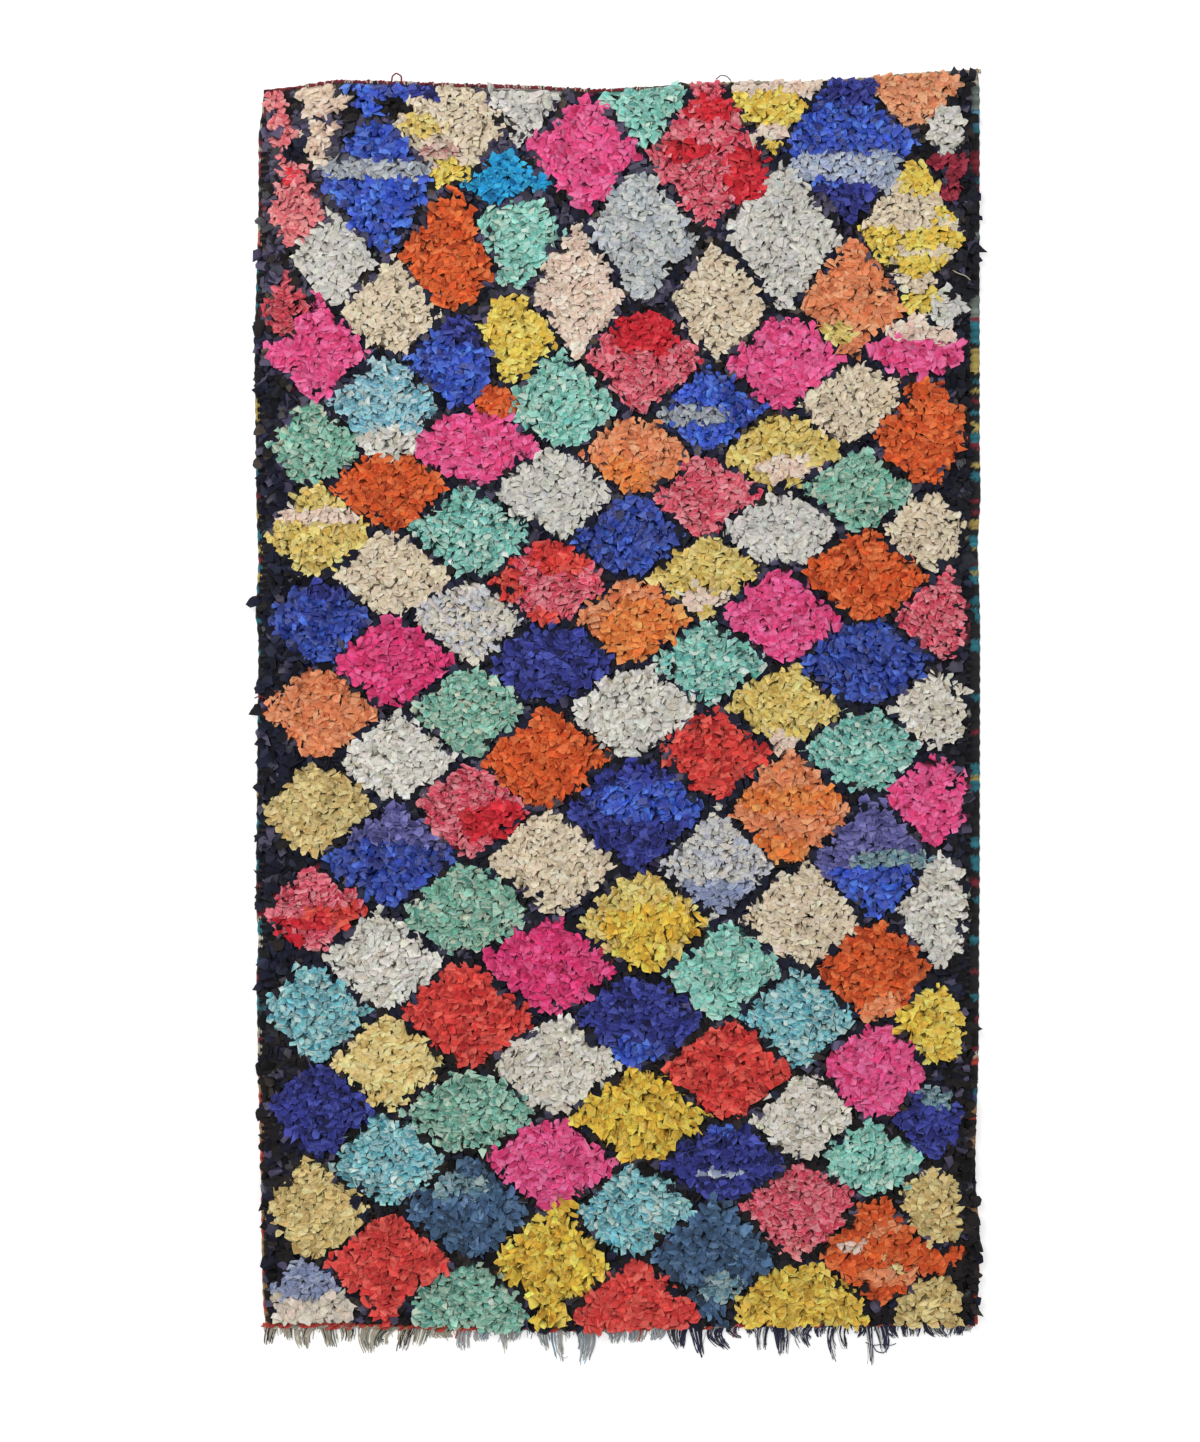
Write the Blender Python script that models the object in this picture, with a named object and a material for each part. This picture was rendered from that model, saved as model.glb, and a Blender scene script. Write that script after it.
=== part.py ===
"""Boucherouite rug lying flat: one knotted rag cloth and its uneven warp-end fringe.

Metres, +Z up. The rug's length runs along Y and its width along X. The origin
is the middle of the whole outline, fringe included, on the floor. The body is
one flat solid: a thin flat-woven edge all round, and inside it the envelope of
the rag pile, which is a few centimetres deep. Sizes below are in millimetres.
"""

import math

import bmesh
import bpy

MM = 0.001

GROUND = 5.0  # depth of the woven ground, which shows bare along the edges
PILE = 23.0  # mean height of the pile's tips over the floor
PILE_SWELL = 1.4  # how far that height wanders
CLEARANCE = 0.3  # gap between touching pieces

LEFT_SELVEDGE = 15.0  # bare woven strip along the left side
RIGHT_SELVEDGE = 25.0  # and along the right side, which is wider
TOP_EDGE = 9.0
BOTTOM_EDGE = 5.0
PILE_FLANK = 9.0  # the pile rises from the ground to its height over this run

COLUMNS = 30  # pile columns across the width
ROWS = 52  # pile rows along the length

FRINGE_DEPTH = 4.0  # a clump of warp ends, pressed flat by its own weight
FRINGE_HEADER = 5.0  # what is left of the warp above the clumps' roots

# The two long sides wander. A row for each place along the rug's length.
# along: distance up the rug from its middle; left, right: where the sides are
SIDES = (
    # along, left, right
    (-1255, -678, 698),
    (-1182, -680, 698),
    (-1144, -686, 699),
    (-1105, -688, 700),
    (-1020, -690, 704),
    (-900, -691, 694),
    (-835, -693, 694),
    (-661, -697, 700),
    (-487, -700, 701),
    (-420, -696, 701),
    (-352, -701, 702),
    (169, -696, 703),
    (217, -702, 702),
    (323, -696, 698),
    (420, -700, 704),
    (516, -701, 702),
    (748, -704, 702),
    (999, -696, 702),
    (1153, -696, 702),
    (1200, -689, 702),
    (1255, -684, 697),
)

# The two ends. A row for each place across the rug's width.
# across: distance right of its middle; bottom, top: where the ends are
ENDS = (
    # across, bottom, top
    (-704, -1180, 1213),
    (-613, -1181, 1223),
    (-541, -1182, 1234),
    (-431, -1184, 1231),
    (-323, -1186, 1227),
    (-150, -1188, 1222),
    (-43, -1188, 1215),
    (43, -1186, 1220),
    (159, -1182, 1228),
    (252, -1178, 1232),
    (352, -1178, 1231),
    (468, -1177, 1238),
    (574, -1176, 1248),
    (704, -1176, 1255),
)

# Clumps of warp ends hanging from the bottom end, left to right.
# across: middle of the root; half: half its width; reach: how far the tip
# stands out from the rug's end; lean: how far the tip is carried sideways
CLUMPS = (
    # across, half, reach, lean
    (-668, 11, 34, -5),
    (-634, 15, 26, 4),
    (-600, 17, 42, 6),
    (-562, 15, 38, 10),
    (-526, 12, 27, 4),
    (-478, 24, 49, -2),
    (-437, 13, 36, -8),
    (-404, 12, 43, -10),
    (-376, 14, 33, -4),
    (-336, 22, 17, 0),
    (-296, 14, 41, -6),
    (-258, 18, 22, 4),
    (-226, 8, 45, 2),
    (-198, 16, 22, 0),
    (-143, 9, 39, 4),
    (-117, 10, 60, 4),
    (-64, 18, 66.8, -2),
    (-14, 16, 26, 0),
    (34, 24, 25, 0),
    (78, 13, 22, 0),
    (117, 19, 40, 4),
    (150, 12, 58, 11),
    (193, 15, 44, 9),
    (228, 9, 23, 0),
    (262, 13, 15, 4),
    (286, 11, 48, -6),
    (313, 14, 58, 8),
    (342, 11, 24, 0),
    (368, 13, 44, 6),
    (398, 12, 23, 8),
    (420, 8, 70, -2),
    (441, 9, 46, 8),
    (464, 12, 24, 4),
    (485, 8, 77.9, 6),
    (508, 12, 54, 12),
    (534, 10, 26, 4),
    (566, 18, 24, 4),
    (612, 18, 25, 8),
    (652, 15, 21, 2),
    (682, 11, 13, 2),
)


def interpolate(table, key, column):
    """The value of one column of a table at key, straight between its rows."""
    if key <= table[0][0]:
        return table[0][column]
    for low, high in zip(table, table[1:]):
        if key <= high[0]:
            share = (key - low[0]) / (high[0] - low[0])
            return low[column] + share * (high[column] - low[column])
    return table[-1][column]


def left_side(along):
    return interpolate(SIDES, along, 1)


def right_side(along):
    return interpolate(SIDES, along, 2)


def bottom_end(across):
    return interpolate(ENDS, across, 1)


def top_end(across):
    return interpolate(ENDS, across, 2)


def stations(low_edge, high_edge, count):
    """Places from one edge to the other, as (distance from the low edge, from the high edge, share).

    The first and last three are the bare edge, the foot of the pile and its
    shoulder. The others divide what is between the shoulders evenly.
    """
    places = [(0.0, None, None), (low_edge, None, None), (low_edge + PILE_FLANK, None, None)]
    places += [(None, None, step / count) for step in range(1, count)]
    places += [(None, high_edge + PILE_FLANK, None), (None, high_edge, None), (None, 0.0, None)]
    return places


def place(station, low, high, low_edge, high_edge):
    """Where a station falls between the two edges low and high."""
    from_low, from_high, share = station
    if from_low is not None:
        return low + from_low
    if from_high is not None:
        return high - from_high
    inner_low = low + low_edge + PILE_FLANK
    inner_high = high - high_edge - PILE_FLANK
    return inner_low + share * (inner_high - inner_low)


def pile_height(across, along):
    """The pile's soft unevenness: slow swells in both directions."""
    swell = math.sin(across / 97.0 + 0.6 * math.sin(along / 210.0))
    swell += math.sin(along / 83.0 + 0.8 * math.sin(across / 160.0))
    return PILE + 0.5 * PILE_SWELL * swell


def material(name, colour, roughness):
    made = bpy.data.materials.new(name)
    made.use_nodes = True
    shader = made.node_tree.nodes["Principled BSDF"]
    shader.inputs["Base Color"].default_value = (*colour, 1.0)
    shader.inputs["Roughness"].default_value = roughness
    shader.inputs["Metallic"].default_value = 0.0
    return made


def clear_scene():
    for obj in list(bpy.data.objects):
        bpy.data.objects.remove(obj, do_unlink=True)


def rug_collection():
    made = bpy.data.collections.new("boucherouite_rug")
    bpy.context.scene.collection.children.link(made)
    return made


ACROSS = stations(LEFT_SELVEDGE, RIGHT_SELVEDGE, COLUMNS)
ALONG = stations(BOTTOM_EDGE, TOP_EDGE, ROWS)


def body_point(column, row):
    """Where the grid point of this column and row lies on the floor plan."""
    nominal = place(ALONG[row], -1182.0, 1230.0, BOTTOM_EDGE, TOP_EDGE)
    across = place(
        ACROSS[column],
        left_side(nominal),
        right_side(nominal),
        LEFT_SELVEDGE,
        RIGHT_SELVEDGE,
    )
    along = place(
        ALONG[row],
        bottom_end(across),
        top_end(across),
        BOTTOM_EDGE,
        TOP_EDGE,
    )
    return across, along


def make_body(collection):
    """The cloth as one closed body: a grid shaped by the tables, drawn down to the floor."""
    last_column = len(ACROSS) - 1
    last_row = len(ALONG) - 1

    shape = bmesh.new()
    bmesh.ops.create_grid(shape, x_segments=last_column, y_segments=last_row, size=1.0)
    for vertex in shape.verts:
        column = round((vertex.co.x + 1.0) / 2.0 * last_column)
        row = round((vertex.co.y + 1.0) / 2.0 * last_row)
        across, along = body_point(column, row)
        bare = column < 2 or column > last_column - 2 or row < 2 or row > last_row - 2
        height = GROUND if bare else pile_height(across, along)
        vertex.co = (across * MM, along * MM, height * MM)

    # The underside is a copy of the grid pressed flat, joined to it all round.
    top_faces = list(shape.faces)
    drawn = bmesh.ops.extrude_face_region(shape, geom=top_faces, use_keep_orig=True)
    for item in drawn["geom"]:
        if isinstance(item, bmesh.types.BMVert):
            item.co.z = 0.0
    bmesh.ops.recalc_face_normals(shape, faces=shape.faces)
    under = [face for face in shape.faces if all(corner.co.z < 1e-9 for corner in face.verts)]
    bmesh.ops.dissolve_limit(
        shape,
        angle_limit=math.radians(0.5),
        verts=list({corner for face in under for corner in face.verts}),
        edges=list({edge for face in under for edge in face.edges}),
    )

    mesh = bpy.data.meshes.new("rug_body")
    shape.to_mesh(mesh)
    shape.free()
    body = bpy.data.objects.new("rug_body", mesh)
    body.data.materials.append(material("rag_pile", (0.62, 0.16, 0.14), 0.9))
    collection.objects.link(body)
    return body


def fringe_outline():
    """The comb's outline: along the rug's end just clear of it, then back through the clumps."""
    edge = [body_point(column, 0) for column in range(len(ACROSS))]
    left, right = edge[0][0], edge[-1][0]
    outline = [(across, along - CLEARANCE) for across, along in edge]
    outline.append((right, edge[-1][1] - CLEARANCE - FRINGE_HEADER))
    for across, half, reach, lean in reversed(CLUMPS):
        root = bottom_end(across) - CLEARANCE - FRINGE_HEADER
        tip = bottom_end(across) - reach
        waist = root + 0.55 * (tip - root)
        outline += [
            (across + half, root),
            (across + 0.72 * half + 0.45 * lean, waist),
            (across + 0.30 * half + lean, tip + 0.4 * half),
            (across + lean, tip),
            (across - 0.30 * half + lean, tip + 0.4 * half),
            (across - 0.72 * half + 0.45 * lean, waist),
            (across - half, root),
        ]
    outline.append((left, edge[0][1] - CLEARANCE - FRINGE_HEADER))
    return outline


def make_fringe(collection):
    outline = fringe_outline()
    curve = bpy.data.curves.new("warp_fringe", "CURVE")
    curve.dimensions = "2D"
    curve.fill_mode = "BOTH"
    curve.extrude = 0.5 * FRINGE_DEPTH * MM
    spline = curve.splines.new("POLY")
    spline.points.add(len(outline) - 1)
    for point, (across, along) in zip(spline.points, outline):
        point.co = (across * MM, along * MM, 0.0, 1.0)
    spline.use_cyclic_u = True
    fringe = bpy.data.objects.new("warp_fringe", curve)
    fringe.location = (0.0, 0.0, 0.5 * FRINGE_DEPTH * MM)
    fringe.data.materials.append(material("warp_yarn", (0.30, 0.31, 0.34), 0.9))
    collection.objects.link(fringe)
    return fringe


def main():
    clear_scene()
    collection = rug_collection()
    make_body(collection)
    make_fringe(collection)


main()
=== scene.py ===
"""Looks of the boucherouite rug: a knotted rag pile on a woven ground, lying flat.

Every knot is built as a real cut strip of rag: it rises from the ground, leans
over and overlaps the next one. Which rag a knot is made of comes from a chart
of the rug's lozenges. The woven ground, the striped selvedges, the twined cords
at both ends and the warp fringe are pieces of their own.
"""

import math
import bpy
import numpy as np
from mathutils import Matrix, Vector


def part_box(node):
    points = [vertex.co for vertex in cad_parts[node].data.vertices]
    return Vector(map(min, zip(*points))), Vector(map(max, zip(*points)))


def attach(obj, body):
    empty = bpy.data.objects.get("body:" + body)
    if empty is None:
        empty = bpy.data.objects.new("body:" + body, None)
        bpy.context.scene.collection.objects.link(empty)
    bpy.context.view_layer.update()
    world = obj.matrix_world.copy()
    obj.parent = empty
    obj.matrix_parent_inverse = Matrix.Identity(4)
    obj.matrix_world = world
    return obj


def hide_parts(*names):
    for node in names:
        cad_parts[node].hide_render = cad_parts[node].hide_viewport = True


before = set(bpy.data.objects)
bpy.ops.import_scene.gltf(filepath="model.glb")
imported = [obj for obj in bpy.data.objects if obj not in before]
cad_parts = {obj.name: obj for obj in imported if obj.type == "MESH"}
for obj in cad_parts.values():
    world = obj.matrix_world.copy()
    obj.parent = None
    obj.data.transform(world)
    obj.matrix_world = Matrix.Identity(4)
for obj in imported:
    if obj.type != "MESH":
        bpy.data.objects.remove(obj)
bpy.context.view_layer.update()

rng = np.random.default_rng(20417)

MM = 0.001
body_low, body_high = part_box("rug_body")
fringe_low, fringe_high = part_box("warp_fringe")

# The chart's units: the rug is 729.3 of them wide, and its middle, fringe
# included, is at (617.5, 717.5) with y running down.
UNIT = (body_high.x - body_low.x) / 729.3
MIDDLE_X = (body_low.x + body_high.x) / 2
MIDDLE_Y = (fringe_low.y + body_high.y) / 2


def world_x(across):
    return MIDDLE_X + (np.asarray(across, float) - 617.5) * UNIT


def world_y(down):
    return MIDDLE_Y + (717.5 - np.asarray(down, float)) * UNIT


def chart_x(x):
    return 617.5 + (np.asarray(x, float) - MIDDLE_X) / UNIT


def chart_y(y):
    return 717.5 - (np.asarray(y, float) - MIDDLE_Y) / UNIT


# --- the rug's chart -------------------------------------------------------
# One row for each lozenge of the lattice, in chart units (1 unit = 1/729 of the
# rug's width), x to the right and y down from the chart's corner.
# across, down: the widest and tallest lines; west, east, north, south: its tips.
LOZENGES = (
    # across, down, west, east, north, south, cloth
    (322, 100, 288, 350, 70, 128, "peach"),
    (320, 140, 300, 338, 100, 172, "peach"),
    (375, 92, 340, 412, 60, 128, "cobalt"),
    (378, 182, 320, 434, 104, 260, "cobalt"),
    (452, 124, 390, 514, 60, 184, "cream"),
    (520, 84, 474, 570, 50, 148, "light_grey"),
    (585, 150, 524, 646, 92, 216, "hot_pink"),
    (645, 92, 594, 694, 50, 154, "mint"),
    (708, 152, 643, 770, 66, 234, "heather"),
    (770, 92, 728, 810, 50, 162, "lemon"),
    (850, 140, 784, 926, 66, 230, "cobalt"),
    (912, 82, 856, 966, 40, 142, "apricot"),
    (946, 130, 924, 972, 96, 164, "light_grey"),
    (283, 128, 269, 298, 78, 190, "salmon"),
    (290, 212, 263, 328, 160, 252, "salmon"),
    (505, 182, 462, 552, 148, 216, "azure"),
    (515, 236, 466, 570, 176, 302, "mint"),
    (335, 258, 290, 384, 206, 306, "light_grey"),
    (450, 256, 398, 506, 186, 324, "burnt_orange"),
    (640, 238, 582, 698, 160, 316, "blue_grey"),
    (783, 242, 714, 846, 156, 324, "light_grey"),
    (912, 232, 854, 968, 148, 314, "cream"),
    (578, 286, 528, 632, 216, 362, "peach_cream"),
    (720, 300, 670, 778, 226, 372, "cream"),
    (855, 298, 798, 908, 228, 368, "peach_orange"),
    (283, 308, 262, 308, 270, 342, "crimson_heather"),
    (390, 316, 332, 446, 254, 364, "cream"),
    (512, 338, 472, 556, 284, 400, "lemon"),
    (318, 352, 264, 374, 300, 412, "hot_pink"),
    (456, 366, 398, 506, 306, 420, "cobalt"),
    (640, 362, 574, 710, 300, 430, "heather"),
    (785, 362, 718, 846, 308, 418, "hot_pink"),
    (920, 350, 860, 976, 314, 386, "hot_pink"),
    (944, 308, 926, 968, 286, 332, "light_grey"),
    (384, 400, 316, 454, 346, 460, "sky"),
    (560, 402, 494, 628, 348, 458, "mint"),
    (706, 412, 644, 768, 362, 460, "cobalt"),
    (855, 402, 788, 920, 354, 452, "cream"),
    (926, 432, 858, 974, 364, 500, "burnt_orange"),
    (312, 446, 268, 366, 396, 492, "mint_teal"),
    (475, 446, 398, 552, 400, 492, "hot_pink"),
    (636, 456, 582, 696, 404, 502, "peach_orange"),
    (784, 452, 712, 852, 406, 498, "yellow"),
    (390, 488, 322, 456, 442, 538, "burnt_orange"),
    (552, 494, 486, 618, 438, 548, "light_grey"),
    (706, 496, 648, 764, 448, 546, "heather"),
    (858, 488, 792, 924, 440, 540, "mint_teal"),
    (318, 532, 262, 376, 474, 588, "yellow"),
    (470, 530, 402, 540, 474, 588, "aqua_mint"),
    (630, 540, 570, 692, 484, 590, "deep_cobalt"),
    (783, 528, 716, 850, 482, 578, "light_grey"),
    (930, 532, 874, 976, 482, 580, "cream"),
    (392, 578, 318, 464, 522, 624, "cream"),
    (550, 584, 484, 620, 532, 638, "heather"),
    (704, 576, 646, 768, 528, 624, "yellow"),
    (866, 578, 792, 940, 520, 636, "burnt_orange"),
    (320, 618, 264, 382, 566, 674, "deep_cobalt"),
    (470, 620, 406, 532, 570, 674, "print_cream"),
    (630, 618, 570, 698, 564, 676, "peach_orange"),
    (782, 614, 714, 852, 556, 674, "hot_pink"),
    (944, 616, 886, 980, 560, 674, "heather"),
    (392, 662, 322, 464, 606, 718, "deep_pink"),
    (554, 662, 480, 632, 614, 710, "indigo"),
    (708, 662, 650, 776, 612, 712, "aqua_mint"),
    (868, 662, 788, 950, 606, 720, "deep_cobalt"),
    (322, 712, 260, 390, 656, 770, "peach_orange"),
    (470, 713, 402, 536, 660, 768, "mint_teal"),
    (632, 712, 556, 708, 656, 768, "off_white"),
    (783, 706, 716, 852, 656, 752, "yellow"),
    (932, 710, 886, 980, 656, 768, "off_cream"),
    (398, 757, 330, 462, 700, 810, "off_white"),
    (544, 757, 472, 618, 698, 818, "burnt_orange"),
    (714, 750, 656, 776, 698, 804, "tomato"),
    (870, 750, 796, 940, 696, 800, "aqua_mint"),
    (318, 812, 258, 388, 754, 870, "tan_yellow"),
    (470, 810, 406, 532, 754, 872, "heather"),
    (636, 812, 552, 714, 750, 878, "indigo"),
    (788, 812, 722, 856, 748, 876, "peach_orange"),
    (932, 798, 882, 982, 744, 856, "hot_pink"),
    (392, 854, 308, 468, 794, 914, "violet"),
    (552, 860, 478, 622, 798, 924, "cream"),
    (716, 862, 658, 776, 796, 926, "print_grey"),
    (872, 858, 810, 938, 790, 930, "violet"),
    (314, 912, 258, 372, 860, 962, "heather"),
    (468, 912, 392, 542, 848, 966, "mint_teal"),
    (642, 926, 568, 718, 864, 988, "yellow"),
    (802, 916, 738, 868, 856, 976, "cream"),
    (938, 910, 896, 986, 842, 984, "off_white"),
    (378, 962, 304, 450, 904, 1022, "off_white"),
    (550, 966, 470, 628, 908, 1024, "deep_pink"),
    (724, 974, 662, 792, 918, 1026, "mint"),
    (878, 974, 808, 950, 916, 1034, "burnt_orange"),
    (318, 1010, 262, 382, 946, 1074, "turquoise"),
    (467, 1016, 396, 542, 948, 1082, "tomato"),
    (636, 1020, 568, 708, 964, 1078, "indigo"),
    (798, 1014, 736, 862, 956, 1078, "turquoise"),
    (930, 1026, 886, 974, 966, 1088, "lemon"),
    (388, 1062, 322, 452, 1004, 1120, "pale_yellow"),
    (557, 1066, 484, 632, 1006, 1126, "off_cream"),
    (728, 1074, 658, 798, 1014, 1134, "tomato"),
    (884, 1070, 818, 954, 1008, 1130, "hot_pink"),
    (320, 1108, 266, 380, 1054, 1168, "indigo"),
    (468, 1113, 392, 544, 1058, 1168, "deep_mint"),
    (640, 1114, 562, 718, 1056, 1174, "golden"),
    (803, 1120, 744, 860, 1064, 1172, "off_cream"),
    (930, 1122, 882, 970, 1068, 1176, "indigo"),
    (388, 1164, 318, 458, 1106, 1222, "turquoise"),
    (548, 1166, 472, 626, 1108, 1226, "hot_pink"),
    (727, 1164, 658, 800, 1112, 1214, "indigo"),
    (876, 1158, 812, 936, 1112, 1208, "mint"),
    (316, 1210, 258, 382, 1152, 1268, "tan_yellow"),
    (470, 1208, 396, 544, 1142, 1270, "denim"),
    (633, 1212, 558, 700, 1156, 1270, "turquoise"),
    (798, 1208, 730, 866, 1152, 1284, "heather"),
    (932, 1212, 888, 978, 1154, 1276, "tan_yellow"),
    (390, 1264, 318, 460, 1204, 1326, "coral"),
    (553, 1268, 478, 624, 1198, 1338, "golden"),
    (716, 1258, 644, 792, 1188, 1330, "denim"),
    (882, 1254, 808, 970, 1184, 1322, "burnt_orange"),
    (305, 1306, 250, 364, 1256, 1380, "beige_print"),
    (470, 1302, 392, 542, 1250, 1390, "deep_mint"),
    (634, 1304, 556, 706, 1246, 1400, "coral"),
    (795, 1302, 714, 882, 1244, 1390, "mustard"),
    (932, 1304, 880, 978, 1262, 1390, "tan_yellow"),
)

# Patches of another cloth, over the lozenge under them. lies: "over" lies over
# the dark ground too, "in" only colours a lozenge.
PATCHES = (
    # west, east, north, south, cloth, lies
    (260, 297, 81, 94, "tomato", "over"),
    (280, 297, 93, 116, "brown_black", "over"),
    (266, 285, 90, 112, "salmon", "over"),
    (275, 295, 138, 166, "salmon", "over"),
    (280, 308, 160, 184, "salmon", "over"),
    (293, 307, 115, 140, "plum", "over"),
    (284, 300, 139, 163, "navy", "over"),
    (329, 344, 124, 163, "plum", "over"),
    (345, 360, 92, 120, "brown_black", "over"),
    (378, 408, 96, 116, "brown_black", "over"),
    (404, 438, 78, 98, "indigo", "over"),
    (318, 434, 158, 180, "denim_grey", "over"),
    (400, 442, 116, 134, "yellow", "in"),
    (424, 462, 136, 168, "berry_cream", "in"),
    (434, 468, 160, 184, "lemon", "over"),
    (280, 292, 168, 188, "red", "in"),
    (688, 734, 98, 120, "red", "in"),
    (662, 712, 141, 158, "red", "over"),
    (728, 765, 150, 200, "red", "over"),
    (730, 824, 60, 98, "peach_cream", "over"),
    (744, 802, 90, 112, "lemon", "over"),
    (758, 792, 124, 141, "peach_cream", "in"),
    (788, 902, 150, 180, "pale_denim", "over"),
    (848, 896, 150, 194, "pale_denim", "over"),
    (826, 876, 66, 106, "indigo", "over"),
    (808, 884, 182, 224, "indigo", "in"),
    (932, 962, 154, 170, "crimson", "over"),
    (944, 962, 168, 180, "crimson", "over"),
    (943, 961, 181, 201, "crimson", "over"),
    (896, 944, 150, 194, "lemon", "in"),
    (858, 900, 226, 262, "lemon", "in"),
    (938, 966, 204, 220, "lemon", "in"),
    (896, 964, 229, 249, "lemon", "in"),
    (892, 956, 255, 275, "lemon", "in"),
    (900, 934, 290, 312, "lemon", "over"),
    (818, 852, 322, 346, "yellow", "in"),
    (310, 322, 292, 330, "hot_pink", "over"),
    (444, 484, 308, 342, "indigo", "in"),
    (612, 682, 312, 352, "red", "in"),
    (890, 962, 314, 342, "peach_cream", "in"),
    (478, 514, 388, 416, "burnt_orange", "over"),
    (356, 418, 428, 456, "off_white", "over"),
    (652, 732, 406, 424, "denim_grey", "in"),
    (758, 816, 456, 480, "peach_cream", "in"),
    (600, 650, 456, 500, "orange", "in"),
    (284, 368, 508, 524, "peach_cream", "in"),
    (266, 300, 500, 520, "peach_cream", "in"),
    (530, 584, 536, 574, "tomato", "in"),
    (492, 520, 560, 604, "tomato", "in"),
    (524, 566, 610, 640, "tomato", "in"),
    (672, 740, 590, 608, "peach_cream", "in"),
    (300, 346, 568, 600, "indigo", "in"),
    (600, 700, 600, 680, "orange", "in"),
    (820, 880, 560, 600, "burnt_orange", "in"),
    (768, 797, 732, 751, "peach_cream", "over"),
    (460, 524, 802, 836, "red", "in"),
    (740, 840, 786, 812, "orange", "in"),
    (740, 812, 836, 880, "orange", "in"),
    (590, 706, 780, 822, "cobalt", "in"),
    (308, 470, 844, 914, "deep_cobalt", "in"),
    (846, 938, 850, 876, "teal_print", "in"),
    (814, 938, 866, 934, "cobalt", "in"),
    (680, 776, 880, 912, "check", "in"),
    (304, 366, 904, 926, "tomato", "in"),
    (266, 334, 917, 931, "red", "in"),
    (262, 300, 932, 960, "red", "in"),
    (600, 704, 908, 946, "golden", "in"),
    (612, 664, 942, 990, "golden", "in"),
    (868, 908, 994, 1034, "peach_orange", "in"),
    (884, 930, 1012, 1034, "golden", "in"),
    (604, 660, 1038, 1080, "cobalt", "in"),
    (920, 962, 1084, 1108, "teal_print", "in"),
    (684, 744, 1122, 1136, "cobalt", "in"),
    (700, 740, 1168, 1180, "pale_denim", "in"),
    (420, 492, 1174, 1198, "teal_print", "in"),
    (544, 570, 1204, 1222, "golden", "over"),
    (700, 744, 1272, 1302, "teal_print", "in"),
    (840, 864, 1244, 1254, "peach_cream", "in"),
    (856, 916, 1268, 1284, "peach_orange", "in"),
    (884, 912, 1262, 1274, "tan_yellow", "in"),
    (870, 896, 1222, 1236, "peach_orange", "in"),
    (902, 954, 1254, 1272, "burnt_orange", "over"),
    (262, 352, 1256, 1300, "check", "in"),
    (778, 812, 1236, 1284, "salmon", "in"),
)
# --- end of the chart ------------------------------------------------------

# The bands of weft wound round each selvedge. from, to: places down the chart
LEFT_BANDS = (
    (70, 104, "black"), (104, 114, "cream"), (114, 122, "black"), (122, 128, "cream"), (128, 138, "black"),
    (138, 146, "red"), (146, 150, "cream"), (150, 157, "red"), (157, 161, "cream"), (161, 176, "red"),
    (176, 186, "black"), (186, 189, "sage"), (189, 200, "black"), (200, 204, "red"), (204, 222, "black"),
    (222, 228, "pale_green"), (228, 244, "salmon"), (244, 264, "black"), (264, 272, "teal"), (272, 284, "black"),
    (284, 290, "teal"), (290, 302, "black"), (302, 308, "teal"), (308, 322, "black"), (322, 328, "teal"),
    (328, 398, "black"), (398, 420, "yellow"), (420, 432, "black"), (432, 436, "red"), (436, 460, "black"),
    (460, 474, "teal"), (474, 492, "black"), (492, 498, "red"), (498, 509, "black"), (509, 518, "yellow"),
    (518, 530, "black"), (530, 540, "teal"), (540, 545, "black"), (545, 552, "yellow"), (552, 556, "black"),
    (556, 563, "red"), (563, 573, "teal"), (573, 581, "yellow"), (581, 585, "black"), (585, 592, "teal"),
    (592, 602, "black"), (602, 608, "teal"), (608, 618, "black"), (618, 623, "teal"), (623, 650, "black"),
    (650, 656, "teal"), (656, 690, "black"), (690, 698, "red"), (698, 712, "black"), (712, 722, "teal"),
    (722, 760, "black"), (760, 768, "teal"), (768, 790, "black"), (790, 796, "yellow"), (796, 820, "black"),
    (820, 828, "teal"), (828, 860, "black"), (860, 870, "teal"), (870, 884, "black"), (884, 888, "red"),
    (888, 912, "black"), (912, 917, "red"), (917, 921, "cream"), (921, 936, "teal"), (936, 941, "cream"),
    (941, 944, "black"), (944, 948, "cream"), (948, 958, "black"), (958, 964, "teal"), (964, 974, "black"),
    (974, 983, "red"), (983, 997, "black"), (997, 1011, "teal"), (1011, 1028, "black"), (1028, 1038, "cream"),
    (1038, 1044, "red"), (1044, 1054, "cream"), (1054, 1068, "black"), (1068, 1078, "coral"), (1078, 1094, "tan"),
    (1094, 1104, "coral"), (1104, 1116, "black"), (1116, 1124, "red"), (1124, 1142, "tan"), (1142, 1172, "coral"),
    (1172, 1184, "tan"), (1184, 1192, "black"), (1192, 1204, "red"), (1204, 1220, "tan"), (1220, 1238, "coral"),
    (1238, 1256, "tan"), (1256, 1268, "black"), (1268, 1284, "coral"), (1284, 1302, "tan"), (1302, 1312, "coral"), (1312, 1340, "tan"),
)
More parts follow.
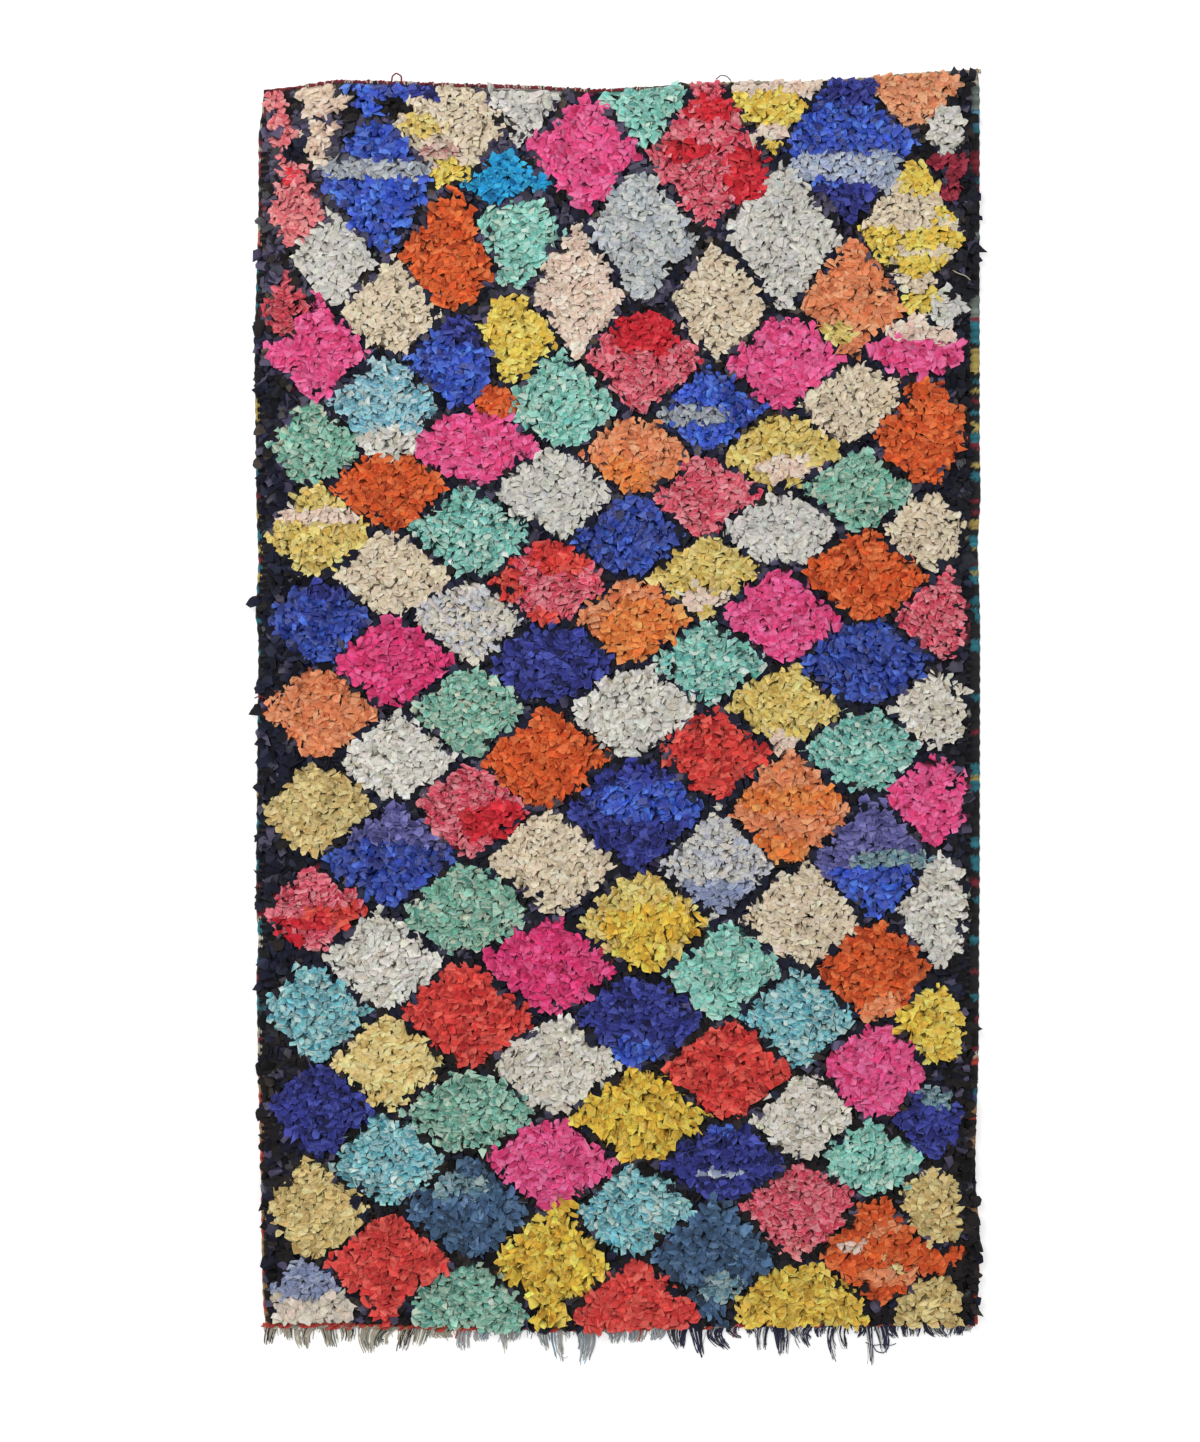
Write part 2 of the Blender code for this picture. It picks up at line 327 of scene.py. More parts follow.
RIGHT_BANDS = (
    (70, 84, "cream"), (84, 108, "sage"), (108, 126, "sky"), (126, 132, "teal"), (132, 150, "black"),
    (150, 173, "red"), (173, 177, "black"), (177, 181, "teal"), (181, 185, "black"), (185, 195, "red"),
    (195, 232, "black"), (232, 236, "sage"), (236, 295, "black"), (295, 316, "sage"), (316, 320, "red"),
    (320, 342, "teal"), (342, 348, "black"), (348, 372, "yellow"), (372, 378, "black"), (378, 382, "teal"),
    (382, 388, "black"), (388, 392, "yellow"), (392, 398, "black"), (398, 402, "red"), (402, 410, "black"),
    (410, 414, "teal"), (414, 422, "black"), (422, 431, "yellow"), (431, 442, "teal"), (442, 448, "red"),
    (448, 462, "black"), (462, 467, "yellow"), (467, 471, "black"), (471, 480, "teal"), (480, 499, "black"),
    (499, 503, "red"), (503, 510, "black"), (510, 514, "red"), (514, 519, "black"), (519, 528, "yellow"),
    (528, 535, "black"), (535, 547, "teal"), (547, 550, "yellow"), (550, 562, "black"), (562, 566, "red"),
    (566, 571, "teal"), (571, 575, "yellow"), (575, 583, "teal"), (583, 596, "black"), (596, 604, "teal"),
    (604, 609, "black"), (609, 622, "teal"), (622, 640, "black"), (640, 651, "teal"), (651, 694, "black"),
    (694, 701, "teal"), (701, 730, "black"), (730, 734, "red"), (734, 764, "black"), (764, 776, "teal"),
    (776, 780, "yellow"), (780, 791, "teal"), (791, 838, "black"), (838, 848, "teal"), (848, 856, "black"),
    (856, 871, "teal"), (871, 879, "black"), (879, 887, "red"), (887, 898, "black"), (898, 904, "teal"),
    (904, 937, "black"), (937, 944, "teal"), (944, 970, "black"), (970, 974, "red"), (974, 995, "black"),
    (995, 1001, "teal"), (1001, 1018, "black"), (1018, 1023, "red"), (1023, 1048, "black"), (1048, 1053, "red"),
    (1053, 1058, "cream"), (1058, 1065, "coral"), (1065, 1090, "black"), (1090, 1096, "teal"), (1096, 1101, "violet"),
    (1101, 1107, "teal"), (1107, 1115, "tan"), (1115, 1121, "coral"), (1121, 1129, "black"), (1129, 1137, "coral"),
    (1137, 1148, "tan"), (1148, 1206, "black"), (1206, 1216, "tan"), (1216, 1227, "coral"), (1227, 1262, "black"),
    (1262, 1270, "coral"), (1270, 1296, "black"), (1296, 1304, "coral"), (1304, 1316, "tan"), (1316, 1340, "coral"),
)

# The cloths the rags were cut from. finish picks the material, cut picks the
# shape of the strips, and shades are sRGB colours with their weights.
CLOTHS = {
    # name: (piece, finish, cut, depth, shades); depth is how dark the gaps between its strips are, from 0, none, to 1:
    # it sets how far the strips' heights and tones differ and how much shade is painted on their feet and on the woven
    # ground under them
    "peach": ("peach", "print", "crumple", 0.15, ((231, 204, 182, 6), (226, 194, 170, 3), (238, 218, 200, 2), (216, 176, 154, 0.6))),
    "cobalt": ("cobalt", "satin", "satin", 0.6, ((42, 76, 192, 6), (32, 56, 160, 4), (70, 118, 226, 1.8), (28, 40, 122, 2))),
    "deep_cobalt": ("cobalt", "satin", "satin", 0.75, ((34, 60, 158, 6), (26, 46, 132, 4), (56, 94, 196, 1.6), (22, 30, 100, 2.2))),
    "apricot": ("peach_orange", "jersey", "chip", 0.3, ((229, 152, 110, 6), (222, 140, 98, 4), (237, 168, 128, 3), (208, 122, 82, 1.2))),
    "mustard": ("yellow", "cotton", "crumple", 0.5, ((228, 188, 78, 6), (216, 174, 64, 4), (238, 204, 102, 3), (190, 148, 48, 1.6))),
    "pale_yellow": ("yellow", "cotton", "crumple", 0.25, ((233, 206, 138, 6), (223, 193, 120, 4), (240, 216, 156, 3), (206, 174, 100, 1.2))),
    "cream": ("cream", "print", "fine", 0.15, ((226, 209, 182, 6), (218, 200, 171, 4), (234, 221, 198, 3), (204, 184, 155, 1))),
    "light_grey": ("light_grey", "print", "crumple", 0.1, ((211, 209, 203, 6), (203, 203, 201, 4), (219, 216, 208, 3), (196, 191, 182, 1))),
    "hot_pink": ("hot_pink", "jersey", "chip", 0.35, ((234, 84, 142, 6), (226, 66, 126, 4), (240, 110, 160, 3), (210, 52, 108, 1.2))),
    "deep_pink": ("hot_pink", "jersey", "chip", 0.5, ((224, 60, 122, 6), (214, 46, 108, 4), (234, 88, 142, 3), (196, 40, 96, 1.5))),
    "mint": ("mint", "print", "crumple", 0.45, ((124, 202, 188, 6), (104, 186, 172, 4), (154, 218, 206, 3), (198, 226, 212, 1.0), (84, 162, 150, 1.2))),
    "deep_mint": ("mint", "print", "crumple", 0.7, ((112, 178, 160, 6), (92, 158, 140, 4), (142, 200, 182, 3), (190, 214, 192, 0.8), (66, 128, 114, 2))),
    "heather": ("heather", "print", "fine", 0.45, ((218, 76, 102, 6), (206, 56, 84, 4), (231, 108, 128, 3), (237, 142, 154, 1.6), (188, 38, 66, 1.3))),
    "lemon": ("yellow", "cotton", "crumple", 0.3, ((238, 203, 88, 6), (230, 190, 72, 4), (244, 215, 116, 3), (210, 170, 60, 1.2))),
    "yellow": ("yellow", "cotton", "crumple", 0.35, ((222, 194, 112, 6), (212, 182, 94, 4), (231, 207, 136, 3), (196, 164, 80, 1.2))),
    "peach_orange": ("peach_orange", "jersey", "chip", 0.4, ((229, 139, 94, 6), (221, 126, 79, 4), (237, 158, 116, 3), (205, 107, 66, 1.2))),
    "salmon": ("salmon", "print", "fine", 0.35, ((228, 116, 124, 6), (216, 96, 108, 4), (240, 148, 150, 3), (200, 64, 80, 1))),
    "azure": ("azure", "jersey", "chip", 0.5, ((32, 158, 216, 6), (24, 142, 202, 4), (58, 180, 232, 2), (12, 108, 166, 1.2))),
    "burnt_orange": ("burnt_orange", "jersey", "chip", 0.5, ((216, 92, 40, 6), (204, 78, 32, 4), (226, 114, 62, 3), (178, 62, 26, 1.5))),
    "blue_grey": ("light_grey", "print", "crumple", 0.2, ((192, 198, 202, 6), (180, 190, 198, 4), (204, 206, 202, 3), (166, 176, 190, 1.2))),
    "peach_cream": ("peach", "print", "crumple", 0.12, ((234, 208, 190, 6), (226, 198, 180, 4), (240, 222, 208, 3))),
    "crimson_heather": ("salmon", "print", "fine", 0.6, ((200, 60, 82, 6), (184, 46, 66, 4), (222, 98, 112, 3))),
    "sky": ("turquoise", "print", "fine", 0.5, ((122, 188, 206, 6), (98, 170, 192, 4), (154, 206, 218, 3), (204, 222, 222, 1.4), (72, 142, 168, 1.2))),
    "mint_teal": ("mint", "print", "crumple", 0.55, ((114, 182, 162, 6), (96, 166, 146, 4), (144, 202, 184, 3), (192, 204, 182, 1.0), (76, 144, 126, 1.4))),
    "aqua_mint": ("aqua", "print", "fine", 0.5, ((112, 192, 180, 6), (92, 176, 166, 4), (146, 210, 198, 3), (198, 224, 212, 1.2), (68, 148, 142, 1.4))),
    "print_cream": ("print_cream", "flecked", "fine", 0.25, ((211, 205, 193, 6), (199, 201, 207, 4), (223, 215, 197, 3), (187, 191, 205, 2))),
    "indigo": ("indigo", "jersey", "chip", 0.8, ((50, 55, 138, 6), (39, 43, 114, 4), (70, 79, 164, 2.6), (26, 29, 78, 3))),
    "off_white": ("off_white", "print", "crumple", 0.25, ((222, 219, 210, 6), (211, 209, 202, 4), (232, 229, 221, 3), (202, 194, 178, 1.4))),
    "tomato": ("tomato", "jersey", "chip", 0.6, ((218, 66, 60, 6), (204, 52, 50, 4), (230, 92, 80, 3), (178, 36, 40, 1.8))),
    "tan_yellow": ("tan_yellow", "cotton", "crumple", 0.4, ((214, 188, 128, 6), (203, 175, 112, 4), (224, 204, 148, 3), (184, 154, 92, 1.2))),
    "violet": ("violet", "jersey", "chip", 0.6, ((98, 96, 156, 6), (82, 80, 138, 4), (120, 118, 176, 3), (62, 62, 116, 1.5))),
    "print_grey": ("print_cream", "flecked", "fine", 0.3, ((205, 205, 205, 6), (191, 195, 205, 4), (217, 211, 199, 3), (179, 185, 203, 2))),
    "turquoise": ("turquoise", "print", "fine", 0.65, ((106, 186, 198, 6), (84, 168, 184, 4), (140, 204, 212, 3), (194, 224, 222, 1.4), (56, 138, 160, 1.4))),
    "golden": ("golden", "cotton", "ribbon", 0.58, ((238, 192, 72, 6), (226, 178, 58, 4), (246, 208, 98, 3), (200, 150, 44, 1.7))),
    "off_cream": ("off_white", "cotton", "crumple", 0.2, ((218, 212, 197, 6), (208, 200, 183, 4), (228, 224, 213, 3), (196, 184, 165, 1))),
    "denim": ("denim", "denim", "leaf", 0.85, ((66, 96, 132, 6), (50, 78, 110, 4), (94, 126, 158, 2.4), (34, 54, 80, 3))),
    "coral": ("coral", "jersey", "chip", 0.6, ((222, 70, 66, 6), (210, 58, 56, 4), (234, 96, 86, 3), (184, 44, 46, 1.6))),
    "beige_print": ("beige_print", "print", "leaf", 0.4, ((218, 209, 195, 6), (204, 193, 179, 4), (232, 213, 193, 3), (188, 181, 171, 1.4))),
    "red": ("tomato", "jersey", "chip", 0.5, ((208, 34, 52, 6), (192, 24, 42, 4), (224, 62, 70, 2))),
    "denim_grey": ("pale_denim", "print", "fine", 0.4, ((160, 168, 180, 6), (142, 152, 168, 4), (182, 188, 192, 3))),
    "berry_cream": ("peach", "print", "fine", 0.4, ((222, 202, 182, 5), (212, 166, 156, 3), (158, 50, 66, 1.6))),
    "pale_denim": ("pale_denim", "print", "fine", 0.4, ((164, 178, 206, 6), (144, 160, 192, 4), (186, 194, 210, 3))),
    "crimson": ("crimson", "jersey", "chip", 0.6, ((150, 40, 60, 6), (132, 30, 50, 4), (170, 58, 78, 2))),
    "orange": ("peach_orange", "jersey", "chip", 0.5, ((232, 130, 64, 6), (222, 114, 50, 4), (240, 150, 86, 3))),
    "teal_print": ("teal_print", "print", "fine", 0.7, ((100, 144, 160, 6), (80, 124, 144, 4), (136, 168, 176, 3))),
    "check": ("check", "check", "fine", 0.3, ((176, 184, 202, 6), (190, 196, 206, 4), (160, 170, 194, 3))),
    # the dark ground between the lozenges
    "navy": ("dark_navy", "dark", "dark", 0.9, ((31, 33, 52, 6), (23, 25, 42, 4), (46, 49, 70, 2.2), (15, 16, 28, 2.4))),
    "charcoal": ("dark_charcoal", "dark", "dark", 0.9, ((34, 35, 43, 6), (26, 27, 34, 4), (50, 51, 60, 1.6), (17, 17, 23, 2.4))),
    "brown_black": ("dark_brown", "dark", "dark", 0.9, ((37, 33, 34, 6), (27, 24, 26, 4), (54, 48, 46, 1.8), (17, 16, 19, 2.4))),
    "plum": ("dark_plum", "satin", "dark", 0.85, ((50, 41, 78, 6), (36, 30, 62, 4), (74, 64, 102, 1.8), (22, 18, 40, 2.8))),
    "taupe": ("dark_brown", "dark", "dark", 0.6, ((98, 86, 78, 6), (80, 70, 64, 4))),
}


def linear(values):
    """sRGB numbers from 0 to 255 as linear light."""
    part = np.asarray(values, float) / 255.0
    return np.where(part <= 0.04045, part / 12.92, ((part + 0.055) / 1.055) ** 2.4)


# The outline's unevenness, the same as the solid's, in millimetres.
SIDES = np.array((
    (-1255, -678, 698), (-1182, -680, 698), (-1144, -686, 699), (-1105, -688, 700),
    (-1020, -690, 704), (-900, -691, 694), (-835, -693, 694), (-661, -697, 700),
    (-487, -700, 701), (-420, -696, 701), (-352, -701, 702), (169, -696, 703),
    (217, -702, 702), (323, -696, 698), (420, -700, 704), (516, -701, 702),
    (748, -704, 702), (999, -696, 702), (1153, -696, 702), (1200, -689, 702),
    (1255, -684, 697),
)) * MM
ENDS = np.array((
    (-704, -1180, 1213), (-613, -1181, 1223), (-541, -1182, 1234), (-431, -1184, 1231),
    (-323, -1186, 1227), (-150, -1188, 1222), (-43, -1188, 1215), (43, -1186, 1220),
    (159, -1182, 1228), (252, -1178, 1232), (352, -1178, 1231), (468, -1177, 1238),
    (574, -1176, 1248), (704, -1176, 1255),
)) * MM


def left_side(y):
    return np.interp(y, SIDES[:, 0], SIDES[:, 1])


def right_side(y):
    return np.interp(y, SIDES[:, 0], SIDES[:, 2])


def bottom_end(x):
    return np.interp(x, ENDS[:, 0], ENDS[:, 1])


def top_end(x):
    return np.interp(x, ENDS[:, 0], ENDS[:, 2])


# --- helpers for meshes and materials --------------------------------------

rug = bpy.data.collections.new("rug")
bpy.context.scene.collection.children.link(rug)
made = {}


def mesh_object(name, verts, faces, material, uvs=None, tint=None, sharp=38.0, atlas=None, pale=None, edge=None):
    """One object from arrays. faces is a list of arrays, each of faces with as many corners as it has columns. uvs, atlas and the colours are given per vertex or per corner."""
    verts = np.ascontiguousarray(verts, np.float32)
    mesh = bpy.data.meshes.new(name)
    mesh.vertices.add(len(verts))
    mesh.vertices.foreach_set("co", verts.ravel())
    corners = np.concatenate([f.ravel() for f in faces]).astype(np.int32)
    sizes = np.concatenate([np.full(len(f), f.shape[1]) for f in faces]).astype(np.int32)
    starts = np.concatenate([[0], np.cumsum(sizes)[:-1]]).astype(np.int32)
    mesh.loops.add(len(corners))
    mesh.loops.foreach_set("vertex_index", corners)
    mesh.polygons.add(len(sizes))
    mesh.polygons.foreach_set("loop_start", starts)
    mesh.update(calc_edges=True)
    mesh.validate()

    def per_corner(values):
        values = np.asarray(values, np.float32)
        return values[corners] if len(values) == len(verts) else values

    if uvs is not None:
        layer = mesh.uv_layers.new(name="Strip", do_init=False)
        layer.uv.foreach_set("vector", np.ascontiguousarray(per_corner(uvs)).ravel())
    if atlas is not None:
        layer = mesh.uv_layers.new(name="OFBake", do_init=False)
        layer.uv.foreach_set("vector", np.ascontiguousarray(per_corner(atlas)).ravel())
    for label, colours in (("tint", tint), ("pale", pale), ("edge", edge)):
        if colours is not None:
            colours = np.asarray(colours, np.float32)
            full = np.ones((len(colours), 4), np.float32)
            full[:, :3] = colours
            domain = "POINT" if len(colours) == len(verts) else "CORNER"
            layer = mesh.color_attributes.new(label, "FLOAT_COLOR", domain)
            layer.data.foreach_set("color", full.ravel())
    mesh.polygons.foreach_set("use_smooth", np.ones(len(sizes), bool))
    if sharp is not None:
        mesh.set_sharp_from_angle(angle=math.radians(sharp))
    mesh.materials.append(material)
    obj = bpy.data.objects.new(name, mesh)
    rug.objects.link(obj)
    made[name] = obj
    return obj


class Nodes:
    """A thin helper to lay out a node material."""

    def __init__(self, name):
        self.material = bpy.data.materials.new(name)
        self.material.use_nodes = True
        self.tree = self.material.node_tree
        self.shader = self.tree.nodes["Principled BSDF"]

    def add(self, kind, **values):
        node = self.tree.nodes.new(kind)
        for key, value in values.items():
            setattr(node, key, value)
        return node

    def join(self, source, target):
        self.tree.links.new(source, target)

    def noise(self, vector, scale, detail=2.0, roughness=0.5):
        node = self.add("ShaderNodeTexNoise")
        node.inputs["Scale"].default_value = scale
        node.inputs["Detail"].default_value = detail
        node.inputs["Roughness"].default_value = roughness
        self.join(vector, node.inputs["Vector"])
        return node.outputs["Fac"]

    def span(self, value, low, high, to_low, to_high):
        node = self.add("ShaderNodeMapRange", interpolation_type="SMOOTHSTEP")
        for label, number in (("From Min", low), ("From Max", high), ("To Min", to_low), ("To Max", to_high)):
            node.inputs[label].default_value = number
        self.join(value, node.inputs["Value"])
        return node.outputs["Result"]

    def stretched(self, across, wide, along, long):
        """A place on the strip as a vector, each way scaled by its own number."""
        node = self.add("ShaderNodeCombineXYZ")
        self.join(self.maths("MULTIPLY", across, wide), node.inputs[0])
        self.join(self.maths("MULTIPLY", along, long), node.inputs[1])
        return node.outputs[0]

    def maths(self, operation, first, second=None):
        node = self.add("ShaderNodeMath", operation=operation)
        for socket, value in zip(node.inputs, (first, second)):
            if value is None:
                continue
            if isinstance(value, (int, float)):
                socket.default_value = value
            else:
                self.join(value, socket)
        return node.outputs[0]

    def blend(self, mode, factor, first, second):
        node = self.add("ShaderNodeMix", data_type="RGBA", blend_type=mode)
        sockets = [s for s in node.inputs if s.enabled]
        for socket, value in zip(sockets, (factor, first, second)):
            if isinstance(value, (int, float)):
                socket.default_value = value
            elif isinstance(value, tuple):
                socket.default_value = (*value, 1.0)
            else:
                self.join(value, socket)
        return [s for s in node.outputs if s.enabled][0]

    def grey(self, value):
        node = self.add("ShaderNodeCombineColor")
        for socket in node.inputs:
            self.join(value, socket)
        return node.outputs[0]


def cloth_material(name, roughness, sheen, weave, pattern=None, specular=0.35, cut_edge=0.3):
    """A cut rag: its own colour from the mesh, mottled, paler along its cut sides, with a fine knit or weave."""
    n = Nodes(name)
    place = n.add("ShaderNodeTexCoord").outputs["Object"]
    strip = n.add("ShaderNodeUVMap", uv_map="Strip").outputs["UV"]
    tint = n.add("ShaderNodeAttribute", attribute_name="tint").outputs["Color"]
    blotch = n.span(n.noise(place, 140.0, 2.0), 0.30, 0.72, 0.80, 1.10)
    thread = n.span(n.noise(place, 1500.0, 2.0), 0.25, 0.75, 0.88, 1.08)
    colour = n.blend("MULTIPLY", 1.0, tint, n.grey(n.maths("MULTIPLY", blotch, thread)))

    parts = n.add("ShaderNodeSeparateXYZ")
    n.join(strip, parts.inputs[0])
    across, along = parts.outputs[0], parts.outputs[1]

    if pattern == "print":
        # a pale back and worn flecks, where the dye hasn't gone through the cloth
        pale = n.add("ShaderNodeAttribute", attribute_name="pale").outputs["Color"]
        flecks = n.span(n.noise(n.stretched(across, 0.55, along, 1.9), 200.0, 1.5, 0.5), 0.54, 0.66, 0.0, 0.60)
        colour = n.blend("MIX", flecks, colour, pale)
    elif pattern == "flecked":
        pale = n.add("ShaderNodeAttribute", attribute_name="pale").outputs["Color"]
        flecks = n.span(n.noise(n.stretched(across, 0.7, along, 1.4), 230.0, 2.0, 0.5), 0.55, 0.60, 0.0, 0.8)
        colour = n.blend("MIX", flecks, colour, pale)
    elif pattern == "check":
        # a small woven check of two threads
        bars = []
        for part in (across, along):
            wave = n.maths("SINE", n.maths("MULTIPLY", part, 2 * math.pi / 0.0021))
            bars.append(n.span(wave, -0.15, 0.15, 0.0, 1.0))
        cross = n.maths("MULTIPLY", n.maths("ADD", bars[0], bars[1]), 0.42)
        colour = n.blend("MIX", cross, colour, tuple(linear((84, 104, 170))))
    elif pattern == "denim":
        white = n.span(n.noise(place, 900.0, 2.0, 0.7), 0.52, 0.70, 0.0, 0.35)
        colour = n.blend("MIX", white, colour, tuple(linear((150, 172, 196))))

    # the cut sides and end are paler: frayed cloth, and for all but the printed cloths a painted highlight in a lighter
    # shade of their own colour
    spot = n.add("ShaderNodeSeparateColor")
    n.join(n.add("ShaderNodeAttribute", attribute_name="edge").outputs["Color"], spot.inputs[0])
    side = n.span(spot.outputs[0], 0.80, 0.93, 0.0, 1.0)
    end = n.span(spot.outputs[1], *((0.76, 0.92) if pattern == "print" else (0.92, 0.98)), 0.0, 1.0)
    fray_and_highlight = n.maths("MAXIMUM", side, end)
    some = n.span(spot.outputs[2], 0.25, 0.95, 0.25, 1.0)
    fray_and_highlight = n.maths("MULTIPLY", n.maths("MULTIPLY", fray_and_highlight, some), cut_edge)
    edge_colour = n.add("ShaderNodeAttribute", attribute_name="pale").outputs["Color"]
    colour = n.blend("MIX", fray_and_highlight, colour, edge_colour)

    n.join(colour, n.shader.inputs["Base Color"])
    n.shader.inputs["Roughness"].default_value = roughness
    n.shader.inputs["Sheen Weight"].default_value = sheen
    n.shader.inputs["Sheen Roughness"].default_value = 0.45
    n.shader.inputs["Specular IOR Level"].default_value = specular

    # knit ribs or weave, then soft creases
    rib = n.maths("SINE", n.maths("MULTIPLY", across, 2 * math.pi / weave))
    row = n.maths("SINE", n.maths("MULTIPLY", along, 2 * math.pi / (weave * 1.2)))
    cloth = n.maths("MULTIPLY", n.maths("MULTIPLY", rib, row), 0.5)
    crease = n.noise(place, 420.0, 3.0, 0.6)
    height = n.maths("ADD", n.maths("MULTIPLY", cloth, 0.25), crease)
    bump = n.add("ShaderNodeBump")
    bump.inputs["Strength"].default_value = 0.45
    bump.inputs["Distance"].default_value = 0.0012
    n.join(height, bump.inputs["Height"])
    n.join(bump.outputs["Normal"], n.shader.inputs["Normal"])
    return n.material


FINISHES = {
    "jersey": cloth_material("rag_jersey", 0.85, 0.06, 0.0011, cut_edge=0.55),
    "dark": cloth_material("rag_dark", 0.85, 0.02, 0.0011, specular=0.22, cut_edge=0.3),
    "cotton": cloth_material("rag_cotton", 0.82, 0.06, 0.0009, specular=0.35, cut_edge=0.6),
    "print": cloth_material("rag_print", 0.86, 0.08, 0.001, "print", cut_edge=0.55),
    "flecked": cloth_material("rag_flecked", 0.86, 0.2, 0.001, "flecked", cut_edge=0.4),
    "check": cloth_material("rag_check", 0.9, 0.2, 0.001, "check", cut_edge=0.3),
    "denim": cloth_material("rag_denim", 0.92, 0.1, 0.0013, "denim", cut_edge=0.3),
    "satin": cloth_material("rag_satin", 0.36, 0.03, 0.0008, specular=0.7, cut_edge=0.45),
}

# --- the pile ---------------------------------------------------------------

PITCH_X = 14.7 * MM  # between knots in a row
PITCH_Y = 10.75 * MM  # between rows of knots

# How a rag strip is cut. strips: how many a knot; rings: how finely it is
# modelled; wide, long: the strip; lean: how far it may turn from its lie, in
# degrees; arch: its fold along the middle; high: its top over the floor
CUTS = {
    # name: strips, rings, wide, long, lean, arch, high, tip's width
    "chip": (2, 4, 17.5, 15.0, 19.0, 0.12, 20.5, 0.92),
    "dark": (1, 5, 19.5, 20.5, 24.0, 0.15, 18.8, 0.94),
    "satin": (2, 4, 16.5, 16.5, 24.0, 0.16, 20.5, 0.84),
    "crumple": (2, 4, 17.2, 14.0, 19.0, 0.12, 20.5, 0.80),
    "ribbon": (2, 4, 14.0, 22.0, 44.0, 0.24, 21.5, 0.9),
    "leaf": (2, 4, 17.0, 21.0, 30.0, 0.14, 20.5, 0.55),
    "fine": (2, 4, 15.8, 13.0, 16.0, 0.12, 19.8, 0.76),
}


def bare_right(y):
    """How much of the right selvedge the pile leaves bare: little at the top and at the bottom."""
    return np.interp(chart_y(y), (60, 190, 200, 292, 305, 990, 1060, 1150, 1400), (10, 10, 3, 3, 18, 19, 9, 1, -2)) * MM


def bare_left(y):
    """How much of the left selvedge the pile leaves bare: most where a coloured band shows."""
    down = np.arange(60.0, 1345.0)
    bare = np.full(len(down), 0.0)
    for low, high, yarn in LEFT_BANDS:
        if yarn != "black":
            bare[(down >= low - 1.0) & (down < high + 1.0)] = 24.0 if high < 1050 else 7.0
    bare = np.convolve(bare, np.ones(5) / 5, "same")
    return np.interp(chart_y(y), down, bare) * MM


def bare_top(x):
    """How far the pile stays below the upper end: more where the dark red cord shows."""
    return np.interp(chart_x(x), (290, 305, 622, 650, 690), (4.0, 8.0, 8.0, 1.0, -2.5)) * MM


def bare_bottom(x):
    """How far the pile stays above the lower end: more where the coral cord shows."""
    return np.interp(chart_x(x), (262, 270, 462, 480, 700, 900), (6.0, 9.5, 9.5, 2.0, 2.0, 3.0)) * MM


def packed_height(x, y):
    """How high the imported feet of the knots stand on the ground: none on the bare edges, full further in."""
    inset = np.minimum.reduce([
        (x - left_side(y)) / MM - 13, (right_side(y) - x) / MM - 23,
        (y - bottom_end(x)) / MM - 6, (top_end(x) - y) / MM - 10,
    ])
    return np.clip(inset / 14, 0, 1) * 7.5 * MM


def lozenge_value(across, down, row):
    """0 at the lozenge's middle and 1 on its edge."""
    middle_x, middle_y, west, east, north, south, _ = row
    dx = np.where(across < middle_x, (middle_x - across) / (middle_x - west), (across - middle_x) / (east - middle_x))
    dy = np.where(down < middle_y, (middle_y - down) / (middle_y - north), (down - middle_y) / (south - middle_y))
    return (np.abs(dx) ** 1.05 + np.abs(dy) ** 1.05) ** (1 / 1.05)


def charted(across, down):
    """The cloth of each place on the chart, as a name, and the lozenge it is in, or -1 on the dark ground."""
    values = np.stack([lozenge_value(across, down, row) for row in LOZENGES])
    owner = values.argmin(0)
    best = np.sort(values, 0)[:2]
    inside = (best[0] < 0.955) & (best[1] - best[0] > 0.18)
    names = np.array([row[6] for row in LOZENGES], object)
    cloth = np.where(inside, names[owner], "dark")
    for west, east, north, south, name, lies in PATCHES:
        x, y = (west + east) / 2, (north + south) / 2
        spot = (np.abs((across - x) / ((east - west) / 2)) ** 2.6 + np.abs((down - y) / ((south - north) / 2)) ** 2.6) < 1
        if lies == "in":
            home = int(np.argmin([float(lozenge_value(x, y, row)) for row in LOZENGES]))
            spot &= inside & (owner == home)
        cloth = np.where(spot, name, cloth)
    return cloth, np.where(inside, owner, -1)


def soft_field(x, y, seed, size):
    """A smooth random field around 0, made of a few waves."""
    waves = np.random.default_rng(seed)
    total = np.zeros_like(x)
    for _ in range(7):
        angle, phase, scale = waves.uniform(0, 2 * math.pi), waves.uniform(0, 2 * math.pi), waves.uniform(0.6, 1.8)
        total += np.sin((x * math.cos(angle) + y * math.sin(angle)) * 2 * math.pi / (size * scale) + phase)
    return total / 2.6


def dark_cloth(across, down):
    """Which dark rag lies at each place of the ground between the lozenges."""
    roll = rng.random(len(across))
    drift = soft_field(across * 1.0, down * 1.0, 5, 130.0)
    top_left = np.clip((360 - down) / 160, 0, 1) * np.clip((760 - across) / 260, 0, 1)
    upper = np.clip((470 - down) / 200, 0, 1)
    plum = 0.12 + 0.48 * top_left + 0.24 * upper * (drift > 0.1)
    low = np.clip((down - 990) / 60, 0, 1)
    brown = 0.05 + 0.50 * low + 0.16 * upper
    right = across > 952
    cloth = np.where(roll < plum, "plum", np.where(roll < plum + brown, "brown_black", "navy"))
    cloth = np.where((cloth == "navy") & (rng.random(len(across)) < 0.28), "charcoal", cloth)
    cloth = np.where(right & (rng.random(len(across)) < 0.55), np.where(down > 900, "brown_black", "charcoal"), cloth)
    taupe = (upper > 0) & (rng.random(len(across)) < 0.05)
    return np.where(taupe, "taupe", cloth)


